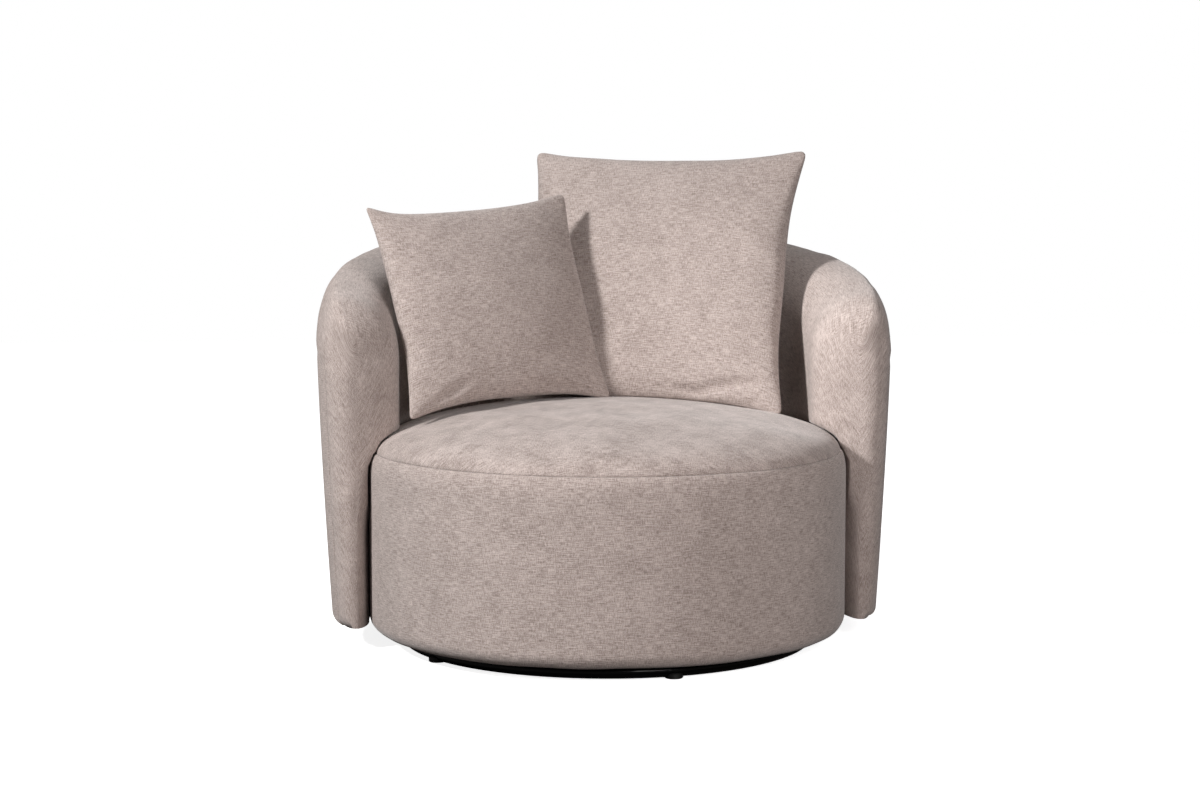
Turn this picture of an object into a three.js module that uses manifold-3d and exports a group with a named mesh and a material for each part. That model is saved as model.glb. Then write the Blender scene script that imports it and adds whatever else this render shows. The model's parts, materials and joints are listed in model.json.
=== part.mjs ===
// Cuddle chair: a round drum seat with a wrap-around upholstered shell on a swivel ring base,
// with one large and one small loose cushion. Millimetres, +Z up, and the chair faces -Y.
import * as THREE from 'three';
import { mergeVertices } from 'three/addons/utils/BufferGeometryUtils.js';
import Module from 'manifold-3d';

const wasm = await Module();
wasm.setup();

const degree = Math.PI / 180;

// Clearances that many pieces share
const seatGap = 0.3; // between pieces that rest on, or are welded or screwed to, each other
const softGap = 2.2; // between the shell pad and the crowned seat that it presses against
const pressGap = 0.6; // between a loose cushion and the crowned seat under it
const overrun = 6; // how far a cutting tool runs past what it cuts
const weldLimit = 0.001; // vertices nearer than this are one

// Swivel ring base
const ringInset = 72.5; // centre line of the tube, inside the drum's side
const ringTube = 24;
const glideCount = 5;
const glideTurn = 12 * degree; // first glide, counted from the front
const glideDiameter = 34;
const glideLift = 2; // under the tube
const glideChamfer = 1.5;
const glideSaddle = 9; // height of the saddle that cups the tube
const spokeWidth = 30;
const spokeHeight = 16;
const spokeWall = 2.5;
const spokeCorner = 4;
const spokeInner = 52; // where the spokes begin, from the swivel axis

// Ball race swivel
const upperPlateRadius = 128;
const racePlate = 6.5; // thickness of each race plate
const raceInset = 46; // circle of the balls, inside the upper plate's rim
const hubRim = 18; // of the hub plate outside that circle
const raceDepth = 3.2;
const ballCount = 8;
const ballDiameter = 10;
const cageThickness = 1.6;
const cageRim = 3.5; // material left round each ball pocket
const rivetRadius = 9;
const rivetFlangeRadius = 16;
const rivetFlange = 2.5;
const rivetRoom = 3; // free ring round the rivet's head inside the base board
const boltCount = 4;
const boltInset = 14; // circle of the bolts, inside the upper plate's rim
const boltRadius = 3;
const boltHeadRadius = 6;
const boltHead = 3;
const boltEnd = 2; // how far a bolt stands out of the base board

// Drum seat
const drumRadius = 457.5;
const drumBottom = 29; // height of its lowest point
const drumRounding = 28; // radius of the rounded bottom edge
const lipWidth = 59.5; // of the fabric turned under the base board
const drumShoulder = 42; // height below the seam where the side starts to draw in
const seamInset = 11.5; // how far the drum's top seam stands inside its side
const seamHeight = 370;
const crownHeight = 90; // of the seat's top above the seam
const bandThickness = 24;
const coverThickness = 4;
const boardThickness = 15;
const dustCover = 1.5;
const postSize = 44;
const postCorner = 4;
const postCount = 4;
const topFrameWidth = 68.5;
const topFrameThickness = 18;
const webWidth = 60;
const webThickness = 2;
const webCount = 5; // straps each way
const webInset = 8; // how far a strap's end stays inside the frame's edge
const webSettle = 2; // flat length past a crossing before the strap slopes
const webRamp = 9; // length of the slope at a strap's end
const webBelowSeam = 60; // top of the frame ring under the seam

// Wrap-around shell
const shellDepth = 95.5; // from the drum's side out to the shell's wall
const backTuck = 1; // how far the inner wall at the back stands inside the seat's seam
const shellBottom = 42;
const shellTop = 767; // top line at the back
const shellTaper = 25; // how much narrower the foot of the shell is, on the radius
const shellWidest = 580; // height where the wall stops spreading
const topFall = 128; // fall of the top line from the back to the arm fronts
const crestInset = 40; // crest of the roll, inside the shell's wall
const rollDrop = 118; // from the top line to the seam of the outer panel
const padDepth = 153; // from the wall in to the sitting space
const innerDrop = 110; // from the top line down to the straight inner wall
const frameDepth = 36; // hollow behind the pad, panel thickness included
const panelThickness = 4;
const noseDepth = 75; // how far the arm front stands before the frame
const noseInset = 56; // arm front's foremost line, inside the shell's wall
const noseDrop = 72; // how much lower the arm front ends than the top line
const noseSpread = 5; // how much further the arm front stands off the crowned seat
const noseStart = 3.5; // length over which the pad closes round the frame's end
const panelRounding = 14; // radius of the rounded foot of the wall
const railHeight = 20;
const uprightWidth = 40;
const uprightStations = [-17, -11, -5, 0, 5, 11, 17]; // steps of the shell from the back

// Turns of the loose cushions
const largeTurn = { yaw: -21.8 * degree, lean: -25.6 * degree, roll: -0.2 * degree };
const smallTurn = { yaw: 22 * degree, lean: -21.8 * degree, roll: -2.9 * degree };

// Shares and exponents of the curved forms
const drawInShare = 0.052; // how far a cushion's sides pull in
const cushionEdgeShare = 0.55; // sharpness of a cushion's seam
const taperShare = 1.35;
const fallShare = 2.04;
const rollShare = 1.82;
const innerRollShare = 2.2;
const noseShare = 2.4;
const webPitchShare = 0.29; // of the frame's radius
const largeShares = { size: 1.415, thickness: 0.39, place: [0.2975, 0.5375], rise: 0.5575 };
const smallShares = { size: 1.065, thickness: 0.31, place: [-0.552, 0.209], rise: 0.4575 };
const noseShares = [0, 0.26, 0.5, 0.7, 0.86, 0.95]; // of a quarter turn round the arm front

// Facets
const drumSides = 48;
const boreSides = 12;
const roundSides = 24; // of glides and of the rivet
const plateSides = 32;
const ringSides = 56;
const tubeSides = 8;
const shellSteps = 18; // from the back to the start of each arm front
const shellReach = 96 * degree; // angle of that start
const topFlatAngle = 22.3 * degree; // the top line is level up to here
const topEndAngle = 105 * degree;
const wallSteps = 4;
const footSteps = 2;
const shoulderSteps = 2;
const raceSteps = 4;
const crownSteps = 8;
const rimSteps = 3; // from the pad's inner wall to the rim of the seat's crown
const outerRollSteps = 4;
const innerRollSteps = 5;
const boltHeadSteps = 2;
const cornerSteps = 2;
const ballSides = 8;
const ballRings = 6;
const cushionSteps = 16;

// Sizes and heights that follow from the others
const ringRadius = drumRadius - ringInset;
const ringHeight = glideLift + ringTube / 2;
const spokeTop = ringHeight + spokeHeight / 2;
const hubBottom = spokeTop + seatGap;
const hubTop = hubBottom + racePlate;
const raceRadius = upperPlateRadius - raceInset;
const hubRadius = raceRadius + hubRim;
const boltCircle = upperPlateRadius - boltInset;
const ballRadius = ballDiameter / 2;
const raceCurve = ballRadius + seatGap;
const ballHeight = hubTop - raceDepth + raceCurve;
const upperPlateBottom = 2 * ballHeight - hubTop;
const raceFacet = raceRadius * (1 - Math.cos(Math.PI / plateSides)); // the flats cut in this far
const pocketRadius = raceCurve / Math.cos(Math.PI / boreSides); // its flats clear the ball
const upperPlateTop = upperPlateBottom + racePlate;
const boardBottom = upperPlateTop + seatGap;
const boardTop = boardBottom + boardThickness;
const seamRadius = drumRadius - seamInset;
const drumLip = drumRadius - lipWidth;
const bandInner = drumRadius - bandThickness;
const topFrameInner = bandInner - topFrameWidth;
const webPitch = bandInner * webPitchShare;
const topFrameTop = seamHeight - webBelowSeam;
const webLow = topFrameTop + seatGap + webThickness / 2;
const webHigh = webLow + webThickness + seatGap;
const foamBottom = webHigh + webThickness / 2 + seatGap;
const shellRadius = drumRadius + shellDepth;
const crestRadius = shellRadius - crestInset;
const innerRadius = shellRadius - padDepth;
const noseCentre = shellRadius - noseInset;
const shellOffset = seamRadius - innerRadius - backTuck; // centre of the shell behind the swivel axis
const wallFoot = shellBottom + panelRounding;
const shellStep = shellReach / shellSteps;
const swivelY = -(shellOffset + shellRadius - drumRadius) / 2;

// Finishes
function finish(color, roughness, metalness) {
  return new THREE.MeshStandardMaterial({ color, roughness, metalness });
}

const fabric = () => finish(0xa3968f, 0.95, 0);
const blackSteel = () => finish(0x0b0b0c, 0.3, 0.6);
const plainSteel = () => finish(0x8d9094, 0.4, 0.9);
const plywood = () => finish(0xc9a877, 0.8, 0);
const blackPlastic = () => finish(0x111111, 0.5, 0);
const elastic = () => finish(0x3b3632, 0.9, 0);
const foam = () => finish(0xe8e2cf, 0.95, 0);
const blackCloth = () => finish(0x1c1b1b, 0.95, 0);

// A named mesh of one piece
function piece(name, geometry, material) {
  const mesh = new THREE.Mesh(geometry, material);
  mesh.name = name;
  return mesh;
}

// A closed geometry as a solid that can be cut
function toSolid(geometry) {
  const bare = geometry.clone();
  bare.deleteAttribute('normal');
  bare.deleteAttribute('uv');
  const merged = mergeVertices(bare, weldLimit);
  const vertProperties = merged.attributes.position.array;
  const triVerts = new Uint32Array(merged.index.array);
  return new wasm.Manifold(new wasm.Mesh({ numProp: 3, vertProperties, triVerts }));
}

// A cut solid back as a geometry
function toGeometry(solid) {
  const mesh = solid.getMesh();
  const geometry = new THREE.BufferGeometry();
  geometry.setAttribute('position', new THREE.BufferAttribute(mesh.vertProperties, 3));
  geometry.setIndex(new THREE.BufferAttribute(mesh.triVerts, 1));
  geometry.computeVertexNormals();
  return geometry;
}

// Revolves a profile of [radius, height] points about the Z axis
function revolve(profile, sides) {
  const points = profile.map(([radius, height]) => new THREE.Vector2(radius, height));
  return new THREE.LatheGeometry(points, sides).rotateX(Math.PI / 2);
}

// Points of an ellipse's arc in the [radius, height] plane
function arcPoints(centre, radii, from, to, steps) {
  return Array.from({ length: steps + 1 }, (_, k) => {
    const angle = from + ((to - from) * k) / steps;
    return [centre[0] + radii[0] * Math.cos(angle), centre[1] + radii[1] * Math.sin(angle)];
  });
}

// A flat disc or ring with round holes, from a lower height up
function discPlate(outer, holes, bottom, thickness) {
  const circle = ({ x, y, radius, sides }) => around(sides, radius, 0)
    .map((place) => new THREE.Vector2(x + place.x, y + place.y));
  const shape = new THREE.Shape(circle({ x: 0, y: 0, ...outer }));
  holes.forEach((hole) => shape.holes.push(new THREE.Path(circle(hole))));
  return new THREE.ExtrudeGeometry(shape, { depth: thickness, bevelEnabled: false })
    .translate(0, 0, bottom);
}

// A rectangle with rounded corners, centred on the origin
function roundedRectangle(width, height, corner) {
  const [x, y] = [width / 2, height / 2];
  const shape = new THREE.Shape();
  shape.moveTo(corner - x, -y);
  shape.lineTo(x - corner, -y);
  shape.absarc(x - corner, corner - y, corner, -Math.PI / 2, 0);
  shape.lineTo(x, y - corner);
  shape.absarc(x - corner, y - corner, corner, 0, Math.PI / 2);
  shape.lineTo(corner - x, y);
  shape.absarc(corner - x, y - corner, corner, Math.PI / 2, Math.PI);
  shape.lineTo(-x, corner - y);
  shape.absarc(corner - x, corner - y, corner, Math.PI, 1.5 * Math.PI);
  return shape;
}

// Places of a count of pieces on a circle, counted from the front towards +X
function around(count, radius, turn) {
  return Array.from({ length: count }, (_, k) => {
    const angle = turn + (2 * Math.PI * k) / count;
    return { x: radius * Math.sin(angle), y: -radius * Math.cos(angle), angle };
  });
}

// Triangles across a closed section, from the points of its first half to those of its second
function capLadder(count) {
  const middle = Math.floor((count - 1) / 2);
  const triangles = count % 2 === 1 ? [[middle - 1, middle, middle + 1]] : [];
  for (let k = 0; k < middle - (count % 2); k += 1) {
    triangles.push([k, k + 1, count - 2 - k], [k, count - 2 - k, count - 1 - k]);
  }
  return triangles;
}

// Joins closed sections of [radius, height] points, one for each angle from the back, and caps them
function sweepSections(sections) {
  const positions = [];
  const index = [];
  const count = sections[0].points.length;
  for (const { angle, points } of sections) {
    for (const [radius, height] of points) {
      positions.push(radius * Math.sin(angle), radius * Math.cos(angle), height);
    }
  }
  for (let s = 0; s < sections.length - 1; s += 1) {
    for (let k = 0; k < count; k += 1) {
      const a = s * count + k;
      const b = s * count + ((k + 1) % count);
      index.push(a, b, a + count, b, b + count, a + count);
    }
  }
  const last = (sections.length - 1) * count;
  for (const [a, b, c] of capLadder(count)) {
    index.push(a, c, b, last + a, last + b, last + c);
  }
  const geometry = new THREE.BufferGeometry();
  geometry.setAttribute('position', new THREE.Float32BufferAttribute(positions, 3));
  geometry.setIndex(index);
  geometry.computeVertexNormals();
  return geometry;
}

// Swivel ring base: tube ring, saddle glides and coped spokes
function tubeRing(tubeRadius) {
  return new THREE.TorusGeometry(ringRadius, tubeRadius, tubeSides, ringSides)
    .translate(0, 0, ringHeight);
}

function glide(place) {
  const radius = glideDiameter / 2;
  const top = glideLift + glideSaddle;
  const profile = [[0, 0], [radius - glideChamfer, 0], [radius, glideChamfer], [radius, top], [0, top]];
  const puck = toSolid(revolve(profile, roundSides).translate(place.x, place.y, 0));
  return toGeometry(puck.subtract(toSolid(tubeRing(ringTube / 2 + seatGap))));
}

function spoke(angle) {
  const shape = roundedRectangle(spokeWidth, spokeHeight, spokeCorner);
  const bore = roundedRectangle(
    spokeWidth - 2 * spokeWall, spokeHeight - 2 * spokeWall, spokeCorner - spokeWall);
  shape.holes.push(bore);
  const options = { depth: ringRadius - spokeInner, bevelEnabled: false, curveSegments: cornerSteps };
  const bar = new THREE.ExtrudeGeometry(shape, options)
    .rotateX(Math.PI / 2)
    .translate(0, -spokeInner, ringHeight)
    .rotateZ(angle);
  return toGeometry(toSolid(bar).subtract(toSolid(tubeRing(ringTube / 2 + seatGap))));
}

// Ball race swivel
function raceArc(side) {
  const lift = Math.asin((raceCurve - raceDepth) / raceCurve);
  const [from, to] = side < 0 ? [-lift, lift - Math.PI] : [Math.PI - lift, lift];
  return arcPoints([raceRadius, ballHeight], [raceCurve + raceFacet, raceCurve], from, to, raceSteps);
}

function hubPlate() {
  const bore = rivetRadius + seatGap;
  const profile = [[bore, hubBottom], [hubRadius, hubBottom], [hubRadius, hubTop],
    ...raceArc(-1), [bore, hubTop], [bore, hubBottom]];
  return revolve(profile, plateSides);
}

function upperPlate() {
  const bore = rivetRadius + seatGap;
  const profile = [[bore, upperPlateBottom], ...raceArc(1), [upperPlateRadius, upperPlateBottom],
    [upperPlateRadius, upperPlateTop], [bore, upperPlateTop], [bore, upperPlateBottom]];
  let plate = toSolid(revolve(profile, plateSides));
  for (const place of around(boltCount, boltCircle, 0)) {
    const drill = new THREE.CylinderGeometry(
      boltRadius + seatGap, boltRadius + seatGap, racePlate + 2 * overrun, boreSides);
    drill.rotateX(Math.PI / 2).translate(place.x, place.y, (upperPlateBottom + upperPlateTop) / 2);
    plate = plate.subtract(toSolid(drill));
  }
  return toGeometry(plate);
}

function ballCage() {
  const reach = raceCurve + cageRim;
  const pockets = around(ballCount, raceRadius, 0)
    .map((place) => ({ ...place, radius: pocketRadius, sides: boreSides }));
  const holes = [{ x: 0, y: 0, radius: raceRadius - reach, sides: plateSides }, ...pockets];
  const outer = { radius: raceRadius + reach, sides: plateSides };
  return discPlate(outer, holes, ballHeight - cageThickness / 2, cageThickness);
}

function centreRivet() {
  const bottom = hubBottom - seatGap - rivetFlange;
  const top = upperPlateTop + seatGap + rivetFlange;
  const profile = [[0, bottom], [rivetFlangeRadius, bottom], [rivetFlangeRadius, bottom + rivetFlange],
    [rivetRadius, bottom + rivetFlange], [rivetRadius, top - rivetFlange],
    [rivetFlangeRadius, top - rivetFlange], [rivetFlangeRadius, top], [0, top]];
  return revolve(profile, roundSides);
}

function plateBolt(place) {
  const headTop = upperPlateBottom - seatGap;
  const profile = [...arcPoints([0, headTop], [boltHeadRadius, boltHead], -Math.PI / 2, 0, boltHeadSteps),
    [boltRadius, headTop], [boltRadius, boardTop + boltEnd], [0, boardTop + boltEnd]];
  return revolve(profile, boreSides).translate(place.x, place.y, 0);
}

// Height of the crowned seat at a distance from the swivel axis
function seatHeight(distance) {
  const share = Math.min(distance / seamRadius, 1);
  return seamHeight + crownHeight * Math.sqrt(1 - share * share);
}

// Outside of the drum's wall from its foot up to the seam
function drumWall() {
  const foot = arcPoints([drumRadius - drumRounding, drumBottom + drumRounding],
    [drumRounding, drumRounding], -Math.PI / 2, 0, wallSteps);
  const shoulder = arcPoints([seamRadius, seamHeight - drumShoulder],
    [drumRadius - seamRadius, drumShoulder], 0, Math.PI / 2, shoulderSteps);
  return [...foot, ...shoulder];
}

function drumBand() {
  const lipTop = boardBottom - seatGap;
  const profile = [[drumLip, drumBottom], ...drumWall(), [bandInner, seamHeight], [bandInner, lipTop],
    [drumLip, lipTop], [drumLip, drumBottom]];
  return revolve(profile, drumSides);
}

// Crowned layer between two depths under the seat's surface
function crownPoints(depth, fromAxis) {
  const radii = [seamRadius - depth, crownHeight - depth];
  const [from, to] = fromAxis ? [Math.PI / 2, 0] : [0, Math.PI / 2];
  return arcPoints([0, seamHeight + seatGap], radii, from, to, crownSteps);
}

// Height of the crowned cover's facets at a distance from the swivel axis
function facetHeight(distance) {
  const rings = crownPoints(0, true);
  const outer = Math.max(rings.findIndex(([radius]) => radius > distance), 1);
  const [[r0, z0], [r1, z1]] = [rings[outer - 1], rings[outer]];
  return distance < seamRadius ? z0 + ((z1 - z0) * (distance - r0)) / (r1 - r0) : seamHeight;
}

function seatTopCover() {
  return revolve([...crownPoints(coverThickness, true), ...crownPoints(0, false)], drumSides);
}

function seatFoam() {
  const side = bandInner - seatGap;
  const profile = [[0, foamBottom], [side, foamBottom], [side, seamHeight + seatGap],
    ...crownPoints(coverThickness + seatGap, false)];
  return revolve(profile, drumSides);
}

function baseBoard() {
  const holes = around(boltCount, boltCircle, 0)
    .map((place) => ({ ...place, radius: boltRadius + seatGap, sides: boreSides }));
  holes.push({ x: 0, y: 0, radius: rivetFlangeRadius + rivetRoom, sides: roundSides });
  return discPlate({ radius: bandInner - seatGap, sides: drumSides }, holes, boardBottom, boardThickness);
}

function seatPost(place) {
  const height = topFrameTop - topFrameThickness - boardTop - 2 * seatGap;
  const options = { depth: height, bevelEnabled: false, curveSegments: cornerSteps };
  return new THREE.ExtrudeGeometry(roundedRectangle(postSize, postSize, postCorner), options)
    .rotateZ(place.angle)
    .translate(place.x, place.y, boardTop + seatGap);
}

// One elastic strap that passes over and under the straps that cross it
function webStrap(across, parity) {
  const half = (webCount - 1) / 2;
  const offset = (across - half) * webPitch;
  const reach = bandInner - webInset;
  const edge = Math.abs(offset) + webWidth / 2;
  const end = Math.sqrt(reach * reach - edge * edge);
  const flat = webWidth / 2 + webSettle;
  const line = [];
  for (let k = 0; k < webCount; k += 1) {
    const centre = (k - half) * webPitch;
    const height = (across + k + parity) % 2 === 0 ? webHigh : webLow;
    line.push([centre - flat, height], [centre + flat, height]);
  }
  const lastFlat = half * webPitch + flat;
  line.unshift([-end, webLow], [-lastFlat - webRamp, webLow]);
  line.push([lastFlat + webRamp, webLow], [end, webLow]);
  const shape = new THREE.Shape([
    ...line.map(([x, z]) => new THREE.Vector2(x, z - webThickness / 2)),
    ...line.reverse().map(([x, z]) => new THREE.Vector2(x, z + webThickness / 2)),
  ]);
  return new THREE.ExtrudeGeometry(shape, { depth: webWidth, bevelEnabled: false })
    .rotateX(Math.PI / 2)
    .translate(0, offset + webWidth / 2, 0);
}

// Shell: its top line, wall and stations, by the angle from the back
function topLine(angle) {
  const span = Math.max(Math.abs(angle) - topFlatAngle, 0) / (topEndAngle - topFlatAngle);
  return shellTop - topFall * span ** fallShare;
}

function panelSeam(angle) {
  return topLine(angle) - rollDrop;
}

function wallRadius(height) {
  const share = Math.max(shellWidest - height, 0) / (shellWidest - shellBottom);
  return shellRadius - shellTaper * share ** taperShare;
}

// The wall as its facets run, between the panel's levels
function facetRadius(angle, height) {
  const span = (panelSeam(angle) - wallFoot) / wallSteps;
  const level = Math.min(Math.floor((height - wallFoot) / span), wallSteps - 1);
  const low = wallFoot + level * span;
  const share = (height - low) / span;
  return wallRadius(low) + (wallRadius(low + span) - wallRadius(low)) * share;
}

function stations() {
  return Array.from({ length: 2 * shellSteps + 1 }, (_, k) => (k - shellSteps) * shellStep);
}

function levels(bottom, top, steps) {
  return Array.from({ length: steps + 1 }, (_, k) => bottom + ((top - bottom) * k) / steps);
}

// Wall from its foot up to a height, at a depth inside its outer face
function wallPoints(top, depth, rounding) {
  const centre = [wallRadius(wallFoot) - panelRounding, wallFoot];
  const reach = panelRounding - depth;
  const foot = rounding
    ? arcPoints(centre, [reach, reach], -Math.PI / 2, 0, footSteps).slice(0, -1)
    : levels(shellBottom, wallFoot, footSteps).slice(0, -1)
      .map((height) => [wallRadius(height) - depth, height]);
  const wall = levels(wallFoot, top, wallSteps).map((height) => [wallRadius(height) - depth, height]);
  return [...foot, ...wall];
}

function outerPanel() {
  return sweepSections(stations().map((angle) => {
    const top = panelSeam(angle);
    const points = [...wallPoints(top, 0, true), ...wallPoints(top, panelThickness, true).reverse()];
    return { angle, points };
  }));
}

// Rail between the pad and the panel; its top height may follow the angle
function shellRail(topAt) {
  return sweepSections(stations().map((angle) => {
    const top = topAt(angle);
    const bottom = top - railHeight;
    const inner = (height) => facetRadius(angle, height) - frameDepth + 2 * seatGap;
    const outer = (height) => facetRadius(angle, height) - panelThickness - seatGap;
    const foot = [[inner(bottom), bottom], [outer(bottom), bottom]];
    return { angle, points: [...foot, [outer(top), top], [inner(top), top]] };
  }));
}

function bottomRailTop() {
  return wallFoot + railHeight;
}

function crestRailTop(angle) {
  return panelSeam(angle) - seatGap;
}

// Upright sawn to the curve of the wall
function shellUpright(station) {
  const angle = station * shellStep;
  const halfAngle = uprightWidth / 2 / (wallRadius(shellBottom) - frameDepth);
  const under = crestRailTop(angle);
  const fall = under - crestRailTop(Math.abs(angle) + shellStep);
  const top = under - fall * (halfAngle / shellStep) - railHeight - seatGap;
  const bottom = bottomRailTop() + seatGap;
  const facetDrop = (uprightWidth / 2) * Math.tan(shellStep / 2);
  const heights = levels(bottom, top, wallSteps);
  const inside = heights.map((z) => new THREE.Vector2(
    facetRadius(angle, z) - frameDepth + 2 * seatGap, z));
  const outside = heights.map((z) => new THREE.Vector2(
    facetRadius(angle, z) - panelThickness - seatGap - facetDrop, z)).reverse();
  const shape = new THREE.Shape([...inside, ...outside]);
  return new THREE.ExtrudeGeometry(shape, { depth: uprightWidth, bevelEnabled: false })
    .rotateX(Math.PI / 2)
    .translate(0, uprightWidth / 2, 0)
    .rotateZ(Math.PI / 2 - angle);
}

// Distance from the shell's centre to a circle round the swivel axis
function towardsSwivel(radius, angle) {
  const across = shellOffset * Math.sin(angle);
  return Math.sqrt(radius * radius - across * across) - shellOffset * Math.cos(angle);
}

function swivelDistance(radius, angle) {
  return Math.sqrt(radius * radius + shellOffset * shellOffset
    + 2 * radius * shellOffset * Math.cos(angle));
}

// Quarter of a superellipse from one point to another, the first with an upright tangent
function rollPoints(from, to, exponent, steps) {
  return Array.from({ length: steps + 1 }, (_, k) => {
    const angle = (Math.PI / 2) * (k / steps);
    const along = Math.cos(angle) ** (2 / exponent);
    const rise = Math.sin(angle) ** (2 / exponent);
    return [to[0] + (from[0] - to[0]) * along, from[1] + (to[1] - from[1]) * rise];
  });
}

// Section of the shell pad; width runs from 1 behind the arm front to nearly 0 at its foremost line
function padSection(angle, width, closed) {
  const draw = (radius) => noseCentre + (radius - noseCentre) * width;
  const top = topLine(angle);
  const seam = panelSeam(angle) + seatGap;
  const back = wallPoints(closed ? seam - noseStart : seam, closed ? 0 : frameDepth, closed)
    .map(([radius, height]) => [draw(radius), height]);
  const lower = ([radius, height]) => {
    const share = Math.max(height - seamHeight - crownHeight, 0) / (top - seamHeight - crownHeight);
    return [draw(radius), height - noseDrop * (1 - width) * share];
  };
  const outerRoll = rollPoints([wallRadius(seam), seam], [crestRadius, top], rollShare, outerRollSteps);
  const innerRoll = rollPoints(
    [innerRadius, top - innerDrop], [crestRadius, top], innerRollShare, innerRollSteps);
  const roll = [...outerRoll, ...innerRoll.reverse().slice(1)].map(lower);
  const facet = Math.cos(shellStep / 2);
  const rim = seamRadius + softGap;
  const rimStart = Math.asin(Math.min(swivelDistance(innerRadius, angle) / rim, 1));
  const crown = levels(rimStart, Math.PI / 2, rimSteps).map((turn) => {
    const radius = draw(towardsSwivel(rim * Math.sin(turn), angle) / facet);
    const lift = softGap + noseSpread * (1 - width);
    const distance = swivelDistance(radius, angle) * (seamRadius / rim);
    return [radius, seatHeight(distance) + lift];
  });
  const wall = drumWall().reverse().filter(([, height]) => height > shellBottom + overrun);
  const seat = wall.map(([radius, height]) => [
    draw(towardsSwivel(radius + seatGap, angle) / facet), height]);
  const foot = [draw(towardsSwivel(drumRadius + seatGap, angle) / facet), shellBottom];
  const points = [...back, ...roll, ...crown, ...seat, foot];
  return { angle, points };
}

function shellPad() {
  const noseAngle = noseDepth / noseCentre;
  const startAngle = noseStart / noseCentre;
  const nose = noseShares.map((share) => {
    const quarter = (Math.PI / 2) * share;
    const forward = Math.sin(quarter) ** (2 / noseShare);
    const width = Math.cos(quarter) ** (2 / noseShare);
    return { reach: shellReach + startAngle + (noseAngle - startAngle) * forward, width };
  });
  const right = nose.map(({ reach, width }) => padSection(reach, width, true));
  const left = nose.map(({ reach, width }) => padSection(-reach, width, true)).reverse();
  const middle = stations().map((angle) => padSection(angle, 1, false));
  return sweepSections([...left, ...middle, ...right]);
}

// Loose cushion: two crowned faces that meet in a drawn-in seam, pressed to the crowned seat
function cushion(name, shares, turn) {
  const size = innerRadius * shares.size;
  const thickness = innerRadius * shares.thickness;
  const place = [...shares.place.map((share) => innerRadius * share),
    seamHeight + crownHeight + innerRadius * shares.rise];
  const placement = new THREE.Matrix4().makeRotationZ(turn.yaw)
    .multiply(new THREE.Matrix4().makeRotationX(turn.lean))
    .multiply(new THREE.Matrix4().makeRotationY(turn.roll))
    .setPosition(...place);
  const unplace = placement.clone().invert();
  const positions = [];
  const index = [];
  const spread = (k) => Math.sin((Math.PI / 2) * ((2 * k) / cushionSteps - 1));
  const inside = (k) => k > 0 && k < cushionSteps;
  const vertexOf = new Map();
  const vertex = (i, j, side) => {
    const key = `${i} ${j} ${inside(i) && inside(j) ? side : 0}`;
    if (!vertexOf.has(key)) {
      const [u, v] = [spread(i), spread(j)];
      const across = (size / 2) * u * (1 - drawInShare * (1 - v * v));
      const along = (size / 2) * v * (1 - drawInShare * (1 - u * u));
      const swell = inside(i) && inside(j)
        ? (thickness / 2) * ((1 - u * u) * (1 - v * v)) ** cushionEdgeShare : 0;
      const point = new THREE.Vector3(across, side * swell, along).applyMatrix4(placement);
      point.z = Math.max(point.z, facetHeight(Math.hypot(point.x, point.y)) + pressGap);
      point.applyMatrix4(unplace);
      vertexOf.set(key, positions.length / 3);
      positions.push(point.x, point.y, point.z);
    }
    return vertexOf.get(key);
  };
  for (let i = 0; i < cushionSteps; i += 1) {
    for (let j = 0; j < cushionSteps; j += 1) {
      for (const side of [-1, 1]) {
        const [a, b] = [vertex(i, j, side), vertex(i + 1, j, side)];
        const [c, d] = [vertex(i + 1, j + 1, side), vertex(i, j + 1, side)];
        const fromCorner = (2 * i < cushionSteps) === (2 * j < cushionSteps);
        const faces = fromCorner ? [a, b, c, a, c, d] : [a, b, d, b, c, d];
        index.push(...(side < 0 ? faces : faces.reverse()));
      }
    }
  }
  const geometry = new THREE.BufferGeometry();
  geometry.setAttribute('position', new THREE.Float32BufferAttribute(positions, 3));
  geometry.setIndex(index);
  geometry.computeVertexNormals();
  const mesh = piece(name, geometry, fabric());
  mesh.applyMatrix4(placement);
  return mesh;
}

// Assembly: everything stands round the swivel axis, and the shell round its own centre
const chair = new THREE.Group();
chair.position.y = swivelY;

const base = new THREE.Group();
base.add(piece('base_ring', tubeRing(ringTube / 2), blackSteel()));
around(glideCount, ringRadius, glideTurn).forEach((place, k) => {
  base.add(piece(`glide_${k + 1}`, glide(place), blackPlastic()));
  base.add(piece(`base_spoke_${k + 1}`, spoke(place.angle + Math.PI / glideCount), blackSteel()));
});
base.add(piece('hub_race_plate', hubPlate(), blackSteel()));
base.add(piece('ball_cage', ballCage(), plainSteel()));
around(ballCount, raceRadius, 0).forEach((place, k) => {
  const sphere = new THREE.SphereGeometry(ballRadius, ballSides, ballRings);
  const ball = piece(`race_ball_${k + 1}`, sphere, plainSteel());
  ball.position.set(place.x, place.y, ballHeight);
  base.add(ball);
});
base.add(piece('centre_rivet', centreRivet(), plainSteel()));

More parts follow.
